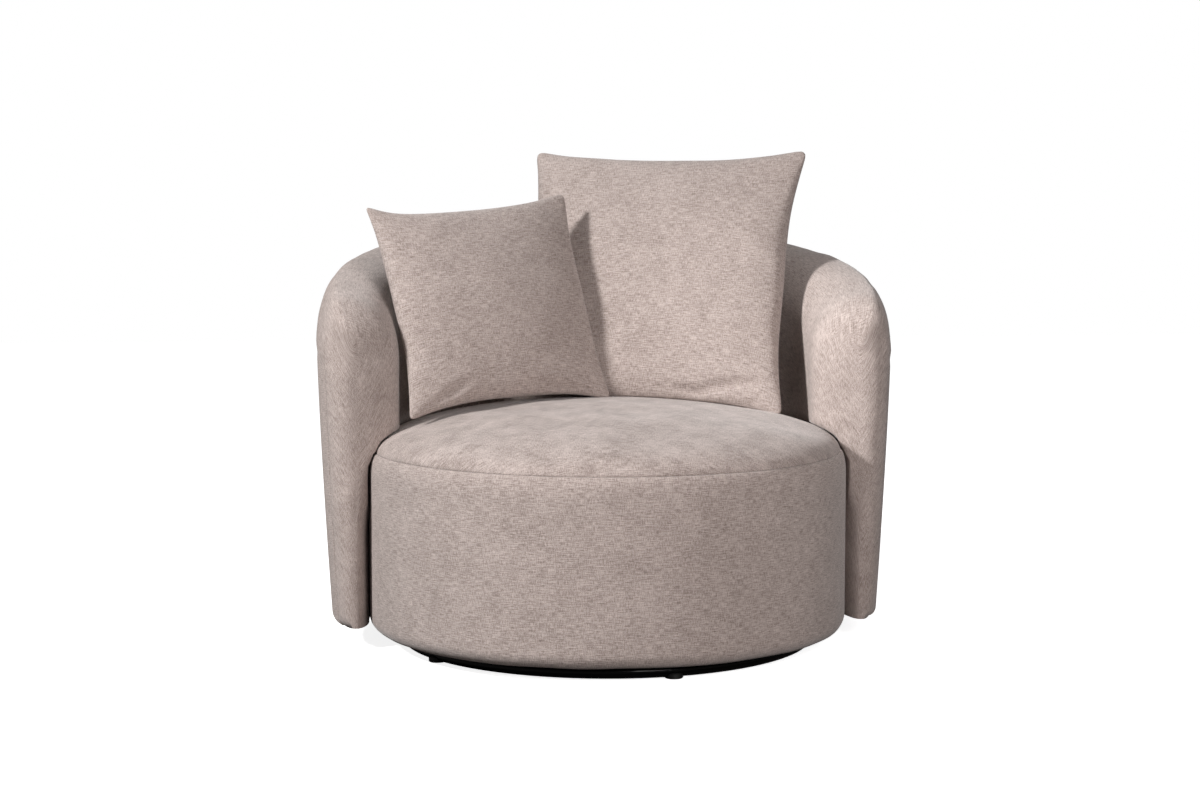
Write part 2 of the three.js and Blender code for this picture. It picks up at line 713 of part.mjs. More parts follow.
const drum = new THREE.Group();
drum.add(piece('upper_race_plate', upperPlate(), blackSteel()));
around(boltCount, boltCircle, 0).forEach((place, k) => {
  drum.add(piece(`plate_bolt_${k + 1}`, plateBolt(place), plainSteel()));
});
drum.add(piece('seat_base_board', baseBoard(), plywood()));
const postTurn = Math.PI / postCount;
around(postCount, (bandInner + topFrameInner) / 2, postTurn).forEach((place, k) => {
  drum.add(piece(`seat_post_${k + 1}`, seatPost(place), plywood()));
});
const frameOuter = { radius: bandInner - seatGap, sides: drumSides };
const frameHole = { x: 0, y: 0, radius: topFrameInner, sides: drumSides };
const topFrame = discPlate(
  frameOuter, [frameHole], topFrameTop - topFrameThickness, topFrameThickness);
drum.add(piece('seat_top_frame', topFrame, plywood()));
for (let k = 0; k < webCount; k += 1) {
  drum.add(piece(`web_strap_across_${k + 1}`, webStrap(k, 0), elastic()));
  const strap = piece(`web_strap_along_${k + 1}`, webStrap(webCount - 1 - k, 1), elastic());
  strap.rotation.z = Math.PI / 2;
  drum.add(strap);
}
drum.add(piece('seat_foam', seatFoam(), foam()));
drum.add(piece('seat_top_cover', seatTopCover(), fabric()));
drum.add(piece('drum_side_band', drumBand(), fabric()));
const coverOuter = { radius: drumLip - rivetRoom, sides: drumSides };
const plateHole = { x: 0, y: 0, radius: upperPlateRadius + rivetRoom, sides: plateSides };
const cover = discPlate(coverOuter, [plateHole], boardBottom - seatGap - dustCover, dustCover);
drum.add(piece('dust_cover', cover, blackCloth()));

const shell = new THREE.Group();
shell.position.y = shellOffset;
shell.add(piece('shell_pad', shellPad(), fabric()));
shell.add(piece('shell_outer_panel', outerPanel(), fabric()));
shell.add(piece('shell_bottom_rail', shellRail(bottomRailTop), plywood()));
shell.add(piece('shell_crest_rail', shellRail(crestRailTop), plywood()));
uprightStations.forEach((station, k) => {
  shell.add(piece(`shell_upright_${k + 1}`, shellUpright(station), plywood()));
});

const large = cushion('large_cushion', largeShares, largeTurn);
const small = cushion('small_cushion', smallShares, smallTurn);
chair.add(base, drum, shell, large, small);

export default chair;
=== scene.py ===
"""Swivel cuddle chair: its upholstery, base and studio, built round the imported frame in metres."""

import json
import logging
import math
from contextlib import contextmanager
from dataclasses import dataclass
from enum import Enum
from typing import Callable, Iterator, NamedTuple, Sequence

import bpy
import numpy as np
from mathutils import Euler, Matrix, Vector, noise


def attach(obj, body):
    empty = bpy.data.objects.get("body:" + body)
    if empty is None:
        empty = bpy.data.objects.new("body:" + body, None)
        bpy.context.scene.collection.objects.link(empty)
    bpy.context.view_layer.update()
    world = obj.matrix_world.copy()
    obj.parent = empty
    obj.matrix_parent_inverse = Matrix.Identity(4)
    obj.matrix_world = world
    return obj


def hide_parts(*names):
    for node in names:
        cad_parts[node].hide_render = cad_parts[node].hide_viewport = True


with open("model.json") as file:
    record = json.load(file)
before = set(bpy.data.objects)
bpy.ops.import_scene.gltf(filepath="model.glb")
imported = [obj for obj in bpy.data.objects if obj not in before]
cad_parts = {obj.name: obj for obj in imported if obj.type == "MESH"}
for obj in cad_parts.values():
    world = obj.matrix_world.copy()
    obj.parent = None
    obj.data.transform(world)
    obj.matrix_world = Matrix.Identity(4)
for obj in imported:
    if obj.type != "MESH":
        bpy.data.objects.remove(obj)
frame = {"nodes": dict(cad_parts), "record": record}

LOG = logging.getLogger("cuddle_chair")
CLOTH = "cloth"
PIN = "pin"
MERGE = 1e-6
LEVEL = 0.9
MILLIMETRES = 1000
SRGB_KNEE, SRGB_SLOPE, SRGB_OFFSET, SRGB_POWER = 0.04045, 12.92, 0.055, 2.4
Point = tuple[float, float]
Spot = tuple[float, float, float]
Piece = bpy.types.Object
Socket = bpy.types.NodeSocket


class Slot(Enum):
    """Material slots of the record."""

    UPHOLSTERY = "upholstery"
    BLACK_STEEL = "black_steel"
    BLACK_PLASTIC = "black_plastic"
    PLAIN_STEEL = "plain_steel"
    PLYWOOD = "plywood"
    WEBBING = "webbing"
    FOAM = "foam"
    BLACK_CLOTH = "black_cloth"


class Body(Enum):
    """Bodies of the frame that pieces ride on."""

    BASE = "base"
    CHAIR = "chair"
    LARGE_CUSHION = "large_cushion"
    SMALL_CUSHION = "small_cushion"


def linear(code: str) -> tuple[float, float, float, float]:
    """Turns an sRGB colour code into a linear colour.

    Args:
        code: Six hexadecimal digits.

    Returns:
        Red, green, blue and alpha.
    """
    parts = [int(code[k:k + 2], 16) / 255 for k in (0, 2, 4)]
    lit = [p / SRGB_SLOPE if p <= SRGB_KNEE else
           ((p + SRGB_OFFSET) / (1 + SRGB_OFFSET)) ** SRGB_POWER for p in parts]
    return (*lit, 1.0)


def arc(centre: Point, radii: Point, start: float, end: float, steps: int) -> list[Point]:
    """Points of an ellipse's arc in the (radius, height) plane.

    Args:
        centre: Centre of the ellipse.
        radii: Half axes along radius and height.
        start: First angle.
        end: Last angle.
        steps: Count of steps between them.

    Returns:
        The points in order.
    """
    turns = np.linspace(start, end, steps + 1)
    return [(centre[0] + radii[0] * math.cos(t), centre[1] + radii[1] * math.sin(t)) for t in turns]


def quarter(start: Point, end: Point, exponent: float, steps: int) -> list[Point]:
    """Quarter of a superellipse that leaves the first point upright and reaches the last level.

    Args:
        start: First point, as radius and height.
        end: Last point.
        exponent: Fullness of the curve; 2 is an ellipse.
        steps: Count of steps.

    Returns:
        The points in order.
    """
    found = []
    for turn in np.linspace(0, math.pi / 2, steps + 1):
        along = max(math.cos(turn), 0.0) ** (2 / exponent)
        rise = math.sin(turn) ** (2 / exponent)
        found.append((end[0] + (start[0] - end[0]) * along, start[1] + (end[1] - start[1]) * rise))
    return found


def smoothstep(low: float, high: float, value: np.ndarray | float) -> np.ndarray | float:
    """Smooth rise from 0 at low to 1 at high."""
    share = np.clip((value - low) / (high - low), 0, 1)
    return share * share * (3 - 2 * share)


@dataclass(frozen=True)
class Plan:
    """Sizes that several sub-assemblies share; radii are from the swivel or the shell's centre."""

    swivel_y: float = -0.07025
    shell_y: float = -0.02525
    drum_radius: float = 0.4575
    drum_bottom: float = 0.029
    seam_radius: float = 0.446
    seam_height: float = 0.370
    crown: float = 0.090
    shell_radius: float = 0.553
    shell_bottom: float = 0.042
    shell_top: float = 0.767
    shell_taper: float = 0.025
    taper_share: float = 1.35
    shell_widest: float = 0.580
    top_fall: float = 0.128
    fall_share: float = 2.04
    flat_angle: float = math.radians(22.3)
    end_angle: float = math.radians(105)
    reach: float = math.radians(96)
    roll_drop: float = 0.118
    shoulder: float = 0.042
    clearance: float = 0.0003

    def seat_height(self, distance: np.ndarray | float) -> np.ndarray | float:
        """Height of the crowned seat at a distance from the swivel axis."""
        share = np.minimum(distance / self.seam_radius, 1)
        return self.seam_height + self.crown * np.sqrt(1 - share * share)

    def top_line(self, angle: float) -> float:
        """Height of the shell's top at an angle from the back."""
        span = max(abs(angle) - self.flat_angle, 0) / (self.end_angle - self.flat_angle)
        return self.shell_top - self.top_fall * span ** self.fall_share

    def panel_seam(self, angle: float) -> float:
        """Height of the seam under the roll at an angle from the back."""
        return self.top_line(angle) - self.roll_drop

    def wall(self, height: float) -> float:
        """Radius of the shell's wall at a height."""
        share = max(self.shell_widest - height, 0) / (self.shell_widest - self.shell_bottom)
        return self.shell_radius - self.shell_taper * share ** self.taper_share

    def towards_swivel(self, radius: float, angle: float) -> float:
        """Distance from the shell's centre to a circle round the swivel axis."""
        offset = self.shell_y - self.swivel_y
        across = offset * math.sin(angle)
        return math.sqrt(radius * radius - across * across) - offset * math.cos(angle)

    def from_swivel(self, radius: float, angle: float) -> float:
        """Distance from the swivel axis of a place given from the shell's centre."""
        offset = self.shell_y - self.swivel_y
        return math.sqrt(radius * radius + offset * offset + 2 * radius * offset * math.cos(angle))


class Stop(NamedTuple):
    """Place of a section of the shell: its angle from the back, its width and its nose step.

    The width is 1 behind the arm front and 0 at its foremost line, and the step is 0 behind it.
    """

    angle: float
    width: float
    step: int


class Bench:
    """Modelling by hand: primitives, edit mode and applied modifiers."""

    @staticmethod
    def clear() -> None:
        """Leaves edit mode and deselects everything."""
        if bpy.context.object and bpy.context.object.mode != "OBJECT":
            bpy.ops.object.mode_set(mode="OBJECT")
        bpy.ops.object.select_all(action="DESELECT")

    @staticmethod
    def pick(piece: Piece) -> None:
        """Makes a piece the only selected and active one."""
        Bench.clear()
        piece.select_set(True)
        bpy.context.view_layer.objects.active = piece

    @staticmethod
    @contextmanager
    def editing(piece: Piece) -> Iterator[None]:
        """Picks a piece and keeps it in edit mode for the lines inside."""
        Bench.pick(piece)
        bpy.ops.object.mode_set(mode="EDIT")
        yield
        bpy.ops.object.mode_set(mode="OBJECT")

    @staticmethod
    def name(title: str) -> Piece:
        """Names the piece that was just added.

        Args:
            title: Name of the piece.

        Returns:
            The piece.
        """
        piece = bpy.context.object
        piece.name = title
        piece.data.name = title
        return piece

    @staticmethod
    def points(piece: Piece, key: str = "co") -> np.ndarray:
        """Places of a piece's vertices, one row each, or another of their vectors."""
        flat = np.zeros(len(piece.data.vertices) * 3)
        piece.data.vertices.foreach_get(key, flat)
        return flat.reshape(-1, 3)

    @staticmethod
    def put(piece: Piece, places: np.ndarray) -> None:
        """Moves a piece's vertices to the given places."""
        piece.data.vertices.foreach_set("co", np.ascontiguousarray(places).ravel())
        piece.data.update()

    @staticmethod
    def mend(piece: Piece) -> None:
        """Merges doubled vertices and turns the faces outwards."""
        with Bench.editing(piece):
            bpy.ops.mesh.select_all(action="SELECT")
            bpy.ops.mesh.remove_doubles(threshold=MERGE)
            bpy.ops.mesh.delete_loose()
            bpy.ops.mesh.select_all(action="SELECT")
            bpy.ops.mesh.normals_make_consistent(inside=False)
        volume = sum(f.center.dot(f.normal) * f.area for f in piece.data.polygons)
        if volume < 0:
            with Bench.editing(piece):
                bpy.ops.mesh.flip_normals()

    @staticmethod
    def copy(piece: Piece, title: str) -> Piece:
        """Copies a piece with a mesh of its own.

        Args:
            piece: Piece to copy.
            title: Name of the copy.

        Returns:
            The copy.
        """
        made = piece.copy()
        made.data = piece.data.copy()
        made.name = made.data.name = title
        bpy.context.scene.collection.objects.link(made)
        return made

    @staticmethod
    def round_caps(piece: Piece, offset: float, insets: int) -> None:
        """Rounds the rims of a cylinder and insets its caps ring by ring.

        Args:
            piece: A cylinder with flat caps.
            offset: Width of the rounding.
            insets: Count of rings on each cap.
        """
        width = max(piece.dimensions[:2]) / 2
        with Bench.editing(piece):
            bpy.ops.mesh.select_mode(type="FACE")
            bpy.ops.mesh.select_all(action="DESELECT")
        for face in piece.data.polygons:
            face.select = abs(face.normal.z) > LEVEL
        with Bench.editing(piece):
            bpy.ops.mesh.inset(thickness=offset, depth=0)
            for _ in range(insets):
                bpy.ops.mesh.inset(thickness=(width - offset) / (insets + 1), depth=0)
            bpy.ops.mesh.select_mode(type="VERT")
        places = Bench.points(piece)
        out = np.hypot(places[:, 0], places[:, 1])
        top, bottom = places[:, 2].max(), places[:, 2].min()
        middle = (top + bottom) / 2
        rim = out > width - offset / 2
        places[rim, 2] = middle + (places[rim, 2] - middle) * (1 - offset / (top - middle))
        Bench.put(piece, places)

    @staticmethod
    def close_ends(piece: Piece) -> None:
        """Closes the open left and right ends of a swept piece, one at a time."""
        for side in (-1, 1):
            with Bench.editing(piece):
                bpy.ops.mesh.select_all(action="DESELECT")
                bpy.ops.mesh.select_non_manifold()
            for corner in piece.data.vertices:
                corner.select = corner.select and corner.co.x * side > 0
            for edge in piece.data.edges:
                edge.select = all(piece.data.vertices[v].select for v in edge.vertices)
            with Bench.editing(piece):
                bpy.ops.mesh.edge_face_add()
                bpy.ops.mesh.quads_convert_to_tris()

    @staticmethod
    def settle(piece: Piece) -> None:
        """Applies a piece's place, turn and scale to its mesh."""
        Bench.pick(piece)
        bpy.ops.object.transform_apply(location=True, rotation=True, scale=True)

    @staticmethod
    def modify(piece: Piece, kind: str, **settings: object) -> None:
        """Adds a modifier and applies it.

        Args:
            piece: Piece that it changes.
            kind: Blender's name of the modifier's type.
            settings: Values of the modifier.
        """
        Bench.pick(piece)
        modifier = piece.modifiers.new(kind.title(), kind)
        for key, value in settings.items():
            setattr(modifier, key, value)
        bpy.ops.object.modifier_apply(modifier=modifier.name)

    @staticmethod
    def smooth(piece: Piece, angle: float = math.radians(50)) -> None:
        """Shades a piece smooth, apart from edges sharper than an angle."""
        Bench.pick(piece)
        bpy.ops.object.shade_smooth_by_angle(angle=angle)

    @staticmethod
    def spin(title: str, profile: Sequence[Point], start: float, end: float,
             steps: int) -> Piece:
        """Spins a closed profile about the Z axis.

        Args:
            title: Name of the piece.
            profile: Points of the profile, as radius and height.
            start: First angle, from the back towards +X.
            end: Last angle.
            steps: Count of steps.

        Returns:
            The piece, with its doubles not yet merged.
        """
        Bench.clear()
        bpy.ops.mesh.primitive_circle_add(vertices=len(profile), radius=1, fill_type="NOTHING")
        piece = Bench.name(title)
        places = [(r * math.sin(start), r * math.cos(start), z) for r, z in profile]
        Bench.put(piece, np.array(places))
        with Bench.editing(piece):
            bpy.ops.mesh.select_all(action="SELECT")
            bpy.ops.mesh.spin(steps=steps, dupli=False, angle=end - start, center=(0, 0, 0),
                              axis=(0, 0, 1))
        return piece

    @staticmethod
    def indices(piece: Piece, profile: Sequence[Point]) -> np.ndarray:
        """Finds the point of the profile that each vertex was spun from.

        Args:
            piece: A piece that spin made.
            profile: Its profile.

        Returns:
            The index of the point for each vertex.
        """
        places = Bench.points(piece)
        flat = np.stack([np.hypot(places[:, 0], places[:, 1]), places[:, 2]], axis=1)
        line = np.array(profile)
        return np.array([np.argmin(((line - p) ** 2).sum(axis=1)) for p in flat])

    @staticmethod
    def lay_cloth(piece: Piece, across: np.ndarray, along: np.ndarray) -> None:
        """Writes where each vertex lies on the flat cloth, for the weave.

        Args:
            piece: Piece that the cloth covers.
            across: Place along the weft for each vertex.
            along: Place along the warp for each vertex.
        """
        corners = Bench.corners(piece)
        Bench.lay_corners(piece, across[corners], along[corners])

    @staticmethod
    def corners(piece: Piece) -> np.ndarray:
        """The vertex of each corner of each face."""
        found = np.zeros(len(piece.data.loops), dtype=np.int32)
        piece.data.loops.foreach_get("vertex_index", found)
        return found

    @staticmethod
    def lay_corners(piece: Piece, across: np.ndarray, along: np.ndarray) -> None:
        """Writes where each corner of a face lies on the flat cloth, so that cloths may meet.

        Args:
            piece: Piece that the cloth covers.
            across: Place along the weft for each corner.
            along: Place along the warp for each corner.
        """
        attribute = piece.data.attributes.new(CLOTH, "FLOAT_VECTOR", "CORNER")
        flat = np.stack([across, along, np.zeros(len(across))], axis=1)
        attribute.data.foreach_set("vector", flat.astype(np.float32).ravel())

    @staticmethod
    def soften(piece: Piece, swell: "Swell", share: np.ndarray) -> None:
        """Gives a stuffed surface its slow swells and dips.

        Args:
            piece: Piece to change.
            swell: Depth, size and place of the swells.
            share: Share of the depth for each vertex.
        """
        places = Bench.points(piece)
        shift = Vector((swell.seed, 2 * swell.seed, 3 * swell.seed))
        rise = np.array([noise.noise(Vector(p) * swell.scale + shift) for p in places])
        Bench.put(piece, places + Bench.points(piece, "normal") * (rise * swell.depth * share)[:, None])


@dataclass(frozen=True)
class Swell:
    """Slow unevenness of a stuffed surface: its depth, swells for each metre and place in the noise."""

    depth: float
    scale: float
    seed: float


class Tree:
    """Short ways to build a node tree."""

    # Numbers of a colour mix's sockets, which share their names with those of other kinds.
    mix_inputs = (0, 6, 7)
    mix_output = 2

    def __init__(self, tree: bpy.types.NodeTree) -> None:
        """Keeps the tree that nodes are added to."""
        self.tree = tree

    @classmethod
    def of(cls, owner: bpy.types.Material | bpy.types.World) -> "Tree":
        """Empties the node tree of a material or a world.

        Args:
            owner: The material or world.

        Returns:
            Its empty tree.
        """
        owner.use_nodes = True
        owner.node_tree.nodes.clear()
        return cls(owner.node_tree)

    def seen(self) -> Socket:
        """1 for rays that start at the camera and 0 for the rest."""
        rays = self.add("LightPath").outputs
        return self.math("MAXIMUM", rays["Is Camera Ray"], rays["Is Transmission Ray"])

    def add(self, kind: str, inputs: dict | None = None, **settings: object) -> bpy.types.Node:
        """Adds a node.

        Args:
            kind: Blender's name of the node's type, without ShaderNode.
            inputs: Values or sockets for its inputs, by name or number.
            settings: Properties of the node.

        Returns:
            The node.
        """
        node = self.tree.nodes.new(kind if kind.startswith("Node") else f"ShaderNode{kind}")
        for key, value in settings.items():
            setattr(node, key, value)
        for key, value in (inputs or {}).items():
            self.feed(node.inputs[key], value)
        return node

    def feed(self, socket: Socket, value: object) -> None:
        """Links a socket to an input, or sets its value."""
        if isinstance(value, Socket):
            self.tree.links.new(value, socket)
        else:
            socket.default_value = value

    def math(self, operation: str, *values: object) -> Socket:
        """Adds a sum of one or two values and returns its result."""
        return self.add("Math", dict(enumerate(values)), operation=operation).outputs[0]

    def scaled(self, vector: Socket, scale: Sequence[float]) -> Socket:
        """Multiplies a vector by a scale on each axis."""
        node = self.add("VectorMath", {0: vector, 1: tuple(scale)}, operation="MULTIPLY")
        return node.outputs[0]

    def noise(self, vector: Socket, scale: Sequence[float],
              detail: float) -> Socket:
        """Noise from 0 to 1 with its own scale on each axis."""
        inputs = {"Vector": self.scaled(vector, scale), "Scale": 1.0, "Detail": detail}
        return self.add("TexNoise", inputs).outputs[0]

    def crossing(self, vector: Socket, pace: float) -> Socket:
        """Waves of threads that cross along X and Y."""
        parts = self.add("SeparateXYZ", {0: vector})
        return self.math("MULTIPLY", *(
            self.math("SINE", self.math("MULTIPLY", parts.outputs[k], pace)) for k in (0, 1)))

    def span(self, value: Socket, low: float, high: float, first: float = 0.0,
             last: float = 1.0) -> Socket:
        """Maps a range of values to another one, smoothly and without passing its ends."""
        inputs = {"Value": value, "From Min": low, "From Max": high, "To Min": first,
                  "To Max": last}
        return self.add("MapRange", inputs, interpolation_type="SMOOTHSTEP").outputs[0]

    def mix(self, share: object, first: object, second: object) -> Socket:
        """Mixes two colours."""
        node = self.add("Mix", dict(zip(self.mix_inputs, (share, first, second))), data_type="RGBA")
        return node.outputs[self.mix_output]


class Group:
    """A shader node group with named inputs and outputs, built once."""

    title = "group"
    inputs: dict[str, object] = {}
    outputs: dict[str, str] = {}

    @classmethod
    def tree(cls) -> bpy.types.NodeTree:
        """Finds the group, and builds it the first time.

        Returns:
            The node group.
        """
        found = bpy.data.node_groups.get(cls.title)
        if found:
            return found
        made = bpy.data.node_groups.new(cls.title, "ShaderNodeTree")
        for name, value in cls.inputs.items():
            kind = {"tuple": "NodeSocketColor", "float": "NodeSocketFloat"}.get(
                type(value).__name__, "NodeSocketVector")
            socket = made.interface.new_socket(name=name, in_out="INPUT", socket_type=kind)
            if value is not None:
                socket.default_value = value
        for name, kind in cls.outputs.items():
            made.interface.new_socket(name=name, in_out="OUTPUT", socket_type=kind)
        tree = Tree(made)
        source = tree.add("NodeGroupInput").outputs
        target = tree.add("NodeGroupOutput").inputs
        cls.build(tree, source, target)
        return made

    @classmethod
    def build(cls, tree: Tree, source: bpy.types.NodeOutputs,
              target: bpy.types.NodeInputs) -> None:
        """Fills the group; each kind of group has its own."""
        raise NotImplementedError

    @classmethod
    def place(cls, tree: Tree, inputs: dict) -> bpy.types.NodeOutputs:
        """Puts the group in a material.

        Args:
            tree: Tree of the material.
            inputs: Values or sockets of the group's inputs.

        Returns:
            The outputs of the placed group.
        """
        node = tree.add("Group", node_tree=cls.tree())
        for key, value in inputs.items():
            tree.feed(node.inputs[key], value)
        return node.outputs


class SlubWeave(Group):
    """Plain weave with light slubs along the weft, on flat cloth coordinates in metres."""

    title = "slub_weave"
    inputs = {"Cloth": None, "Place": None, "Ground": linear("a99b94"),
              "Shade": linear("857770"), "Fleck": linear("d3c8c1"), "Pitch": 1.0, "Mottle": 1.0}
    outputs = {"Color": "NodeSocketColor", "Height": "NodeSocketFloat"}
    threads = 720
    layers = (((58, threads, 1), 2.0, 0.95), ((threads, 105, 1), 2.0, 0.8), ((760, 760, 1), 1.0, 0.8))
    patch = (22, 22, 28)
    patch_detail, patch_share = 3.0, 0.5
    tone_range = (0.88, 1.68)
    slub = (22, 600, 1)
    slub_range = (0.6, 0.78, 0.0, 0.45)
    thread_rise, slub_rise, tone_rise = 0.12, 0.5, 0.55

    @classmethod
    def build(cls, tree: Tree, source: bpy.types.NodeOutputs,
              target: bpy.types.NodeInputs) -> None:
        """Builds threads, slubs, grain and mottling; a layer is a scale, a detail and a share."""
        cloth = tree.add("VectorMath", {0: source["Cloth"]}, operation="SCALE")
        tree.feed(cloth.inputs["Scale"], source["Pitch"])
        flat = cloth.outputs[0]
        tones = [tree.math("MULTIPLY", tree.noise(flat, scale, detail), share)
                 for scale, detail, share in cls.layers]
        patch = tree.noise(source["Place"], cls.patch, cls.patch_detail)
        slow = tree.math("MULTIPLY", tree.math("SUBTRACT", patch, 0.5), source["Mottle"])
        tones.append(tree.math("MULTIPLY", slow, cls.patch_share))
        tone = tones[0]
        for layer in tones[1:]:
            tone = tree.math("ADD", tone, layer)
        ground = tree.mix(tree.span(tone, *cls.tone_range), source["Shade"], source["Ground"])
        slub = tree.span(tree.noise(flat, cls.slub, 1.0), *cls.slub_range)
        tree.feed(target["Color"], tree.mix(slub, ground, source["Fleck"]))
        cross = tree.math("MULTIPLY", tree.crossing(flat, 2 * math.pi * cls.threads), cls.thread_rise)
        bulk = tree.math("ADD", tree.math("MULTIPLY", slub, cls.slub_rise),
                         tree.math("MULTIPLY", tone, cls.tone_rise))
        tree.feed(target["Height"], tree.math("ADD", cross, bulk))


class Speckle(Group):
    """Slow and fine unevenness for lacquer, metal, plastic, foam and wood."""

    title = "speckle"
    inputs = {"Place": None, "Fine": 400.0, "Slow": 9.0, "Low": 0.3, "High": 0.5}
    outputs = {"Value": "NodeSocketFloat", "Mask": "NodeSocketFloat", "Height": "NodeSocketFloat"}
    fine_share = 0.4
    mask_range = (0.35, 0.65)

    @classmethod
    def build(cls, tree: Tree, source: bpy.types.NodeOutputs,
              target: bpy.types.NodeInputs) -> None:
        """Builds both scales of unevenness."""
        fine, slow = (tree.add("TexNoise", {"Vector": source["Place"], "Scale": source[name],
                                            "Detail": 3.0}).outputs[0] for name in ("Fine", "Slow"))
        both = tree.math("ADD", tree.math("MULTIPLY", fine, cls.fine_share),
                         tree.math("MULTIPLY", slow, 1 - cls.fine_share))
        mask = tree.span(both, *cls.mask_range)
        value = tree.add("MapRange", {"Value": mask, "To Min": source["Low"],
                                      "To Max": source["High"]}).outputs[0]
        tree.feed(target["Value"], value)
        tree.feed(target["Mask"], mask)
        tree.feed(target["Height"], fine)


@dataclass(frozen=True)
class Finish:
    """A surface finish: its colours and how it takes light."""

    title: str
    colour: str
    shade: str
    roughness: float = 0.5

    def material(self) -> bpy.types.Material:
        """Finds the finish's material, and builds it the first time.

        Returns:
            The material.
        """
        found = bpy.data.materials.get(self.title)
        if found:
            return found
        made = bpy.data.materials.new(self.title)
        made.diffuse_color = linear(self.colour)
        tree = Tree.of(made)
        shader = tree.add("BsdfPrincipled", {"Roughness": self.roughness})
        self.dress(tree, shader)
        tree.add("OutputMaterial", {0: shader.outputs[0]})
        return made

    def dress(self, tree: Tree, shader: bpy.types.Node) -> None:
        """Feeds the shader; each kind of finish has its own."""
        raise NotImplementedError

    def bump(self, tree: Tree, shader: bpy.types.Node, height: Socket,
             strength: float, distance: float) -> None:
        """Feeds a height to the shader's normal."""
        inputs = {"Height": height, "Strength": strength, "Distance": distance}
        tree.feed(shader.inputs["Normal"], tree.add("Bump", inputs).outputs[0])

    def put_on(self, piece: Piece) -> None:
        """Gives a piece this finish alone."""
        if piece.material_slots:
            for place in piece.material_slots:
                place.material = self.material()
        else:
            piece.data.materials.append(self.material())


@dataclass(frozen=True)
class WovenCloth(Finish):
    """Soft slubbed upholstery cloth."""

    fleck: str = "ddd1cd"
    pitch: float = 1.0
    mottle: float = 1.0
    sheen: float = 0.25
    sheen_roughness: float = 0.55
    specular: float = 0.2
    strength: float = 0.4
    relief: float = 0.0012

    def dress(self, tree: Tree, shader: bpy.types.Node) -> None:
        """Feeds colour and thread relief from the weave."""
        weave = SlubWeave.place(tree, {
            "Cloth": tree.add("Attribute", attribute_name=CLOTH).outputs["Vector"],
            "Place": tree.add("TexCoord").outputs["Object"],
            "Ground": linear(self.colour), "Shade": linear(self.shade),
            "Fleck": linear(self.fleck), "Pitch": self.pitch, "Mottle": self.mottle})
        tree.feed(shader.inputs["Base Color"], weave["Color"])
        shader.inputs["Sheen Weight"].default_value = self.sheen
        shader.inputs["Sheen Roughness"].default_value = self.sheen_roughness
        shader.inputs["Specular IOR Level"].default_value = self.specular
        self.bump(tree, shader, weave["Height"], self.strength, self.relief)


@dataclass(frozen=True)
class Speckled(Finish):
    """A finish whose colour and roughness vary with the speckle."""

    metallic: float = 0.0
    specular: float = 0.5
    fine: float = 400.0
    slow: float = 9.0
    drop: float = 0.1
    rise: float = 0.0
    strength: float = 0.5
    relief: float = 0.0002

    def dress(self, tree: Tree, shader: bpy.types.Node) -> None:
        """Feeds colour, roughness and relief on Object coordinates."""
        place = tree.add("TexCoord").outputs["Object"]
        speckle = Speckle.place(tree, {
            "Place": place, "Fine": self.fine, "Slow": self.slow,
            "Low": self.roughness - self.drop, "High": self.roughness + self.rise})
        share, height = self.pattern(tree, place, speckle)
        colour = tree.mix(share, linear(self.shade), linear(self.colour))
        tree.feed(shader.inputs["Base Color"], colour)
        tree.feed(shader.inputs["Roughness"], speckle["Value"])
        shader.inputs["Metallic"].default_value = self.metallic
        shader.inputs["Specular IOR Level"].default_value = self.specular
        self.bump(tree, shader, height, self.strength, self.relief)

    def pattern(self, tree: Tree, place: Socket,
                speckle: bpy.types.NodeOutputs) -> tuple[Socket, ...]:
        """Share of the lighter colour and height of the relief.

        Args:
            tree: Tree of the material.
            place: Object coordinates.
            speckle: Outputs of the placed speckle.

        Returns:
            The share and the height.
        """
        return speckle["Mask"], speckle["Height"]


@dataclass(frozen=True)
class Solid(Speckled):
    """Lacquer, metal, plastic, foam or thread: one colour with fine unevenness."""

    drop: float = 0.06
    rise: float = 0.06
    strength: float = 0.6
    relief: float = 0.00005


@dataclass(frozen=True)
class Grained(Speckled):
    """Plywood with long grain."""

    fine: float = 500.0
    slow: float = 14.0
    grain: Spot = (9, 160, 160)
    grain_detail: float = 4.0
    pores: float = 0.25
    contrast: Point = (0.4, 0.85)

    def pattern(self, tree: Tree, place: Socket,
                speckle: bpy.types.NodeOutputs) -> tuple[Socket, ...]:
        """Stretched grain with pores; the arguments and the result are those of any pattern."""
        grain = tree.noise(place, self.grain, self.grain_detail)
        pores = tree.math("MULTIPLY", speckle["Mask"], self.pores)
        return tree.span(tree.math("ADD", grain, pores), *self.contrast), grain


@dataclass(frozen=True)
class Ribbed(Speckled):
    """Woven elastic or thin backing cloth."""

    threads: float = 900.0
    fine: float = 600.0
    slow: float = 20.0
    crossing: float = 0.3

    def pattern(self, tree: Tree, place: Socket,
                speckle: bpy.types.NodeOutputs) -> tuple[Socket, ...]:
        """Threads both ways; the arguments and the result are those of any pattern."""
        cross = tree.crossing(place, self.threads)
        return tree.math("ADD", tree.math("MULTIPLY", cross, self.crossing), speckle["Mask"]), cross


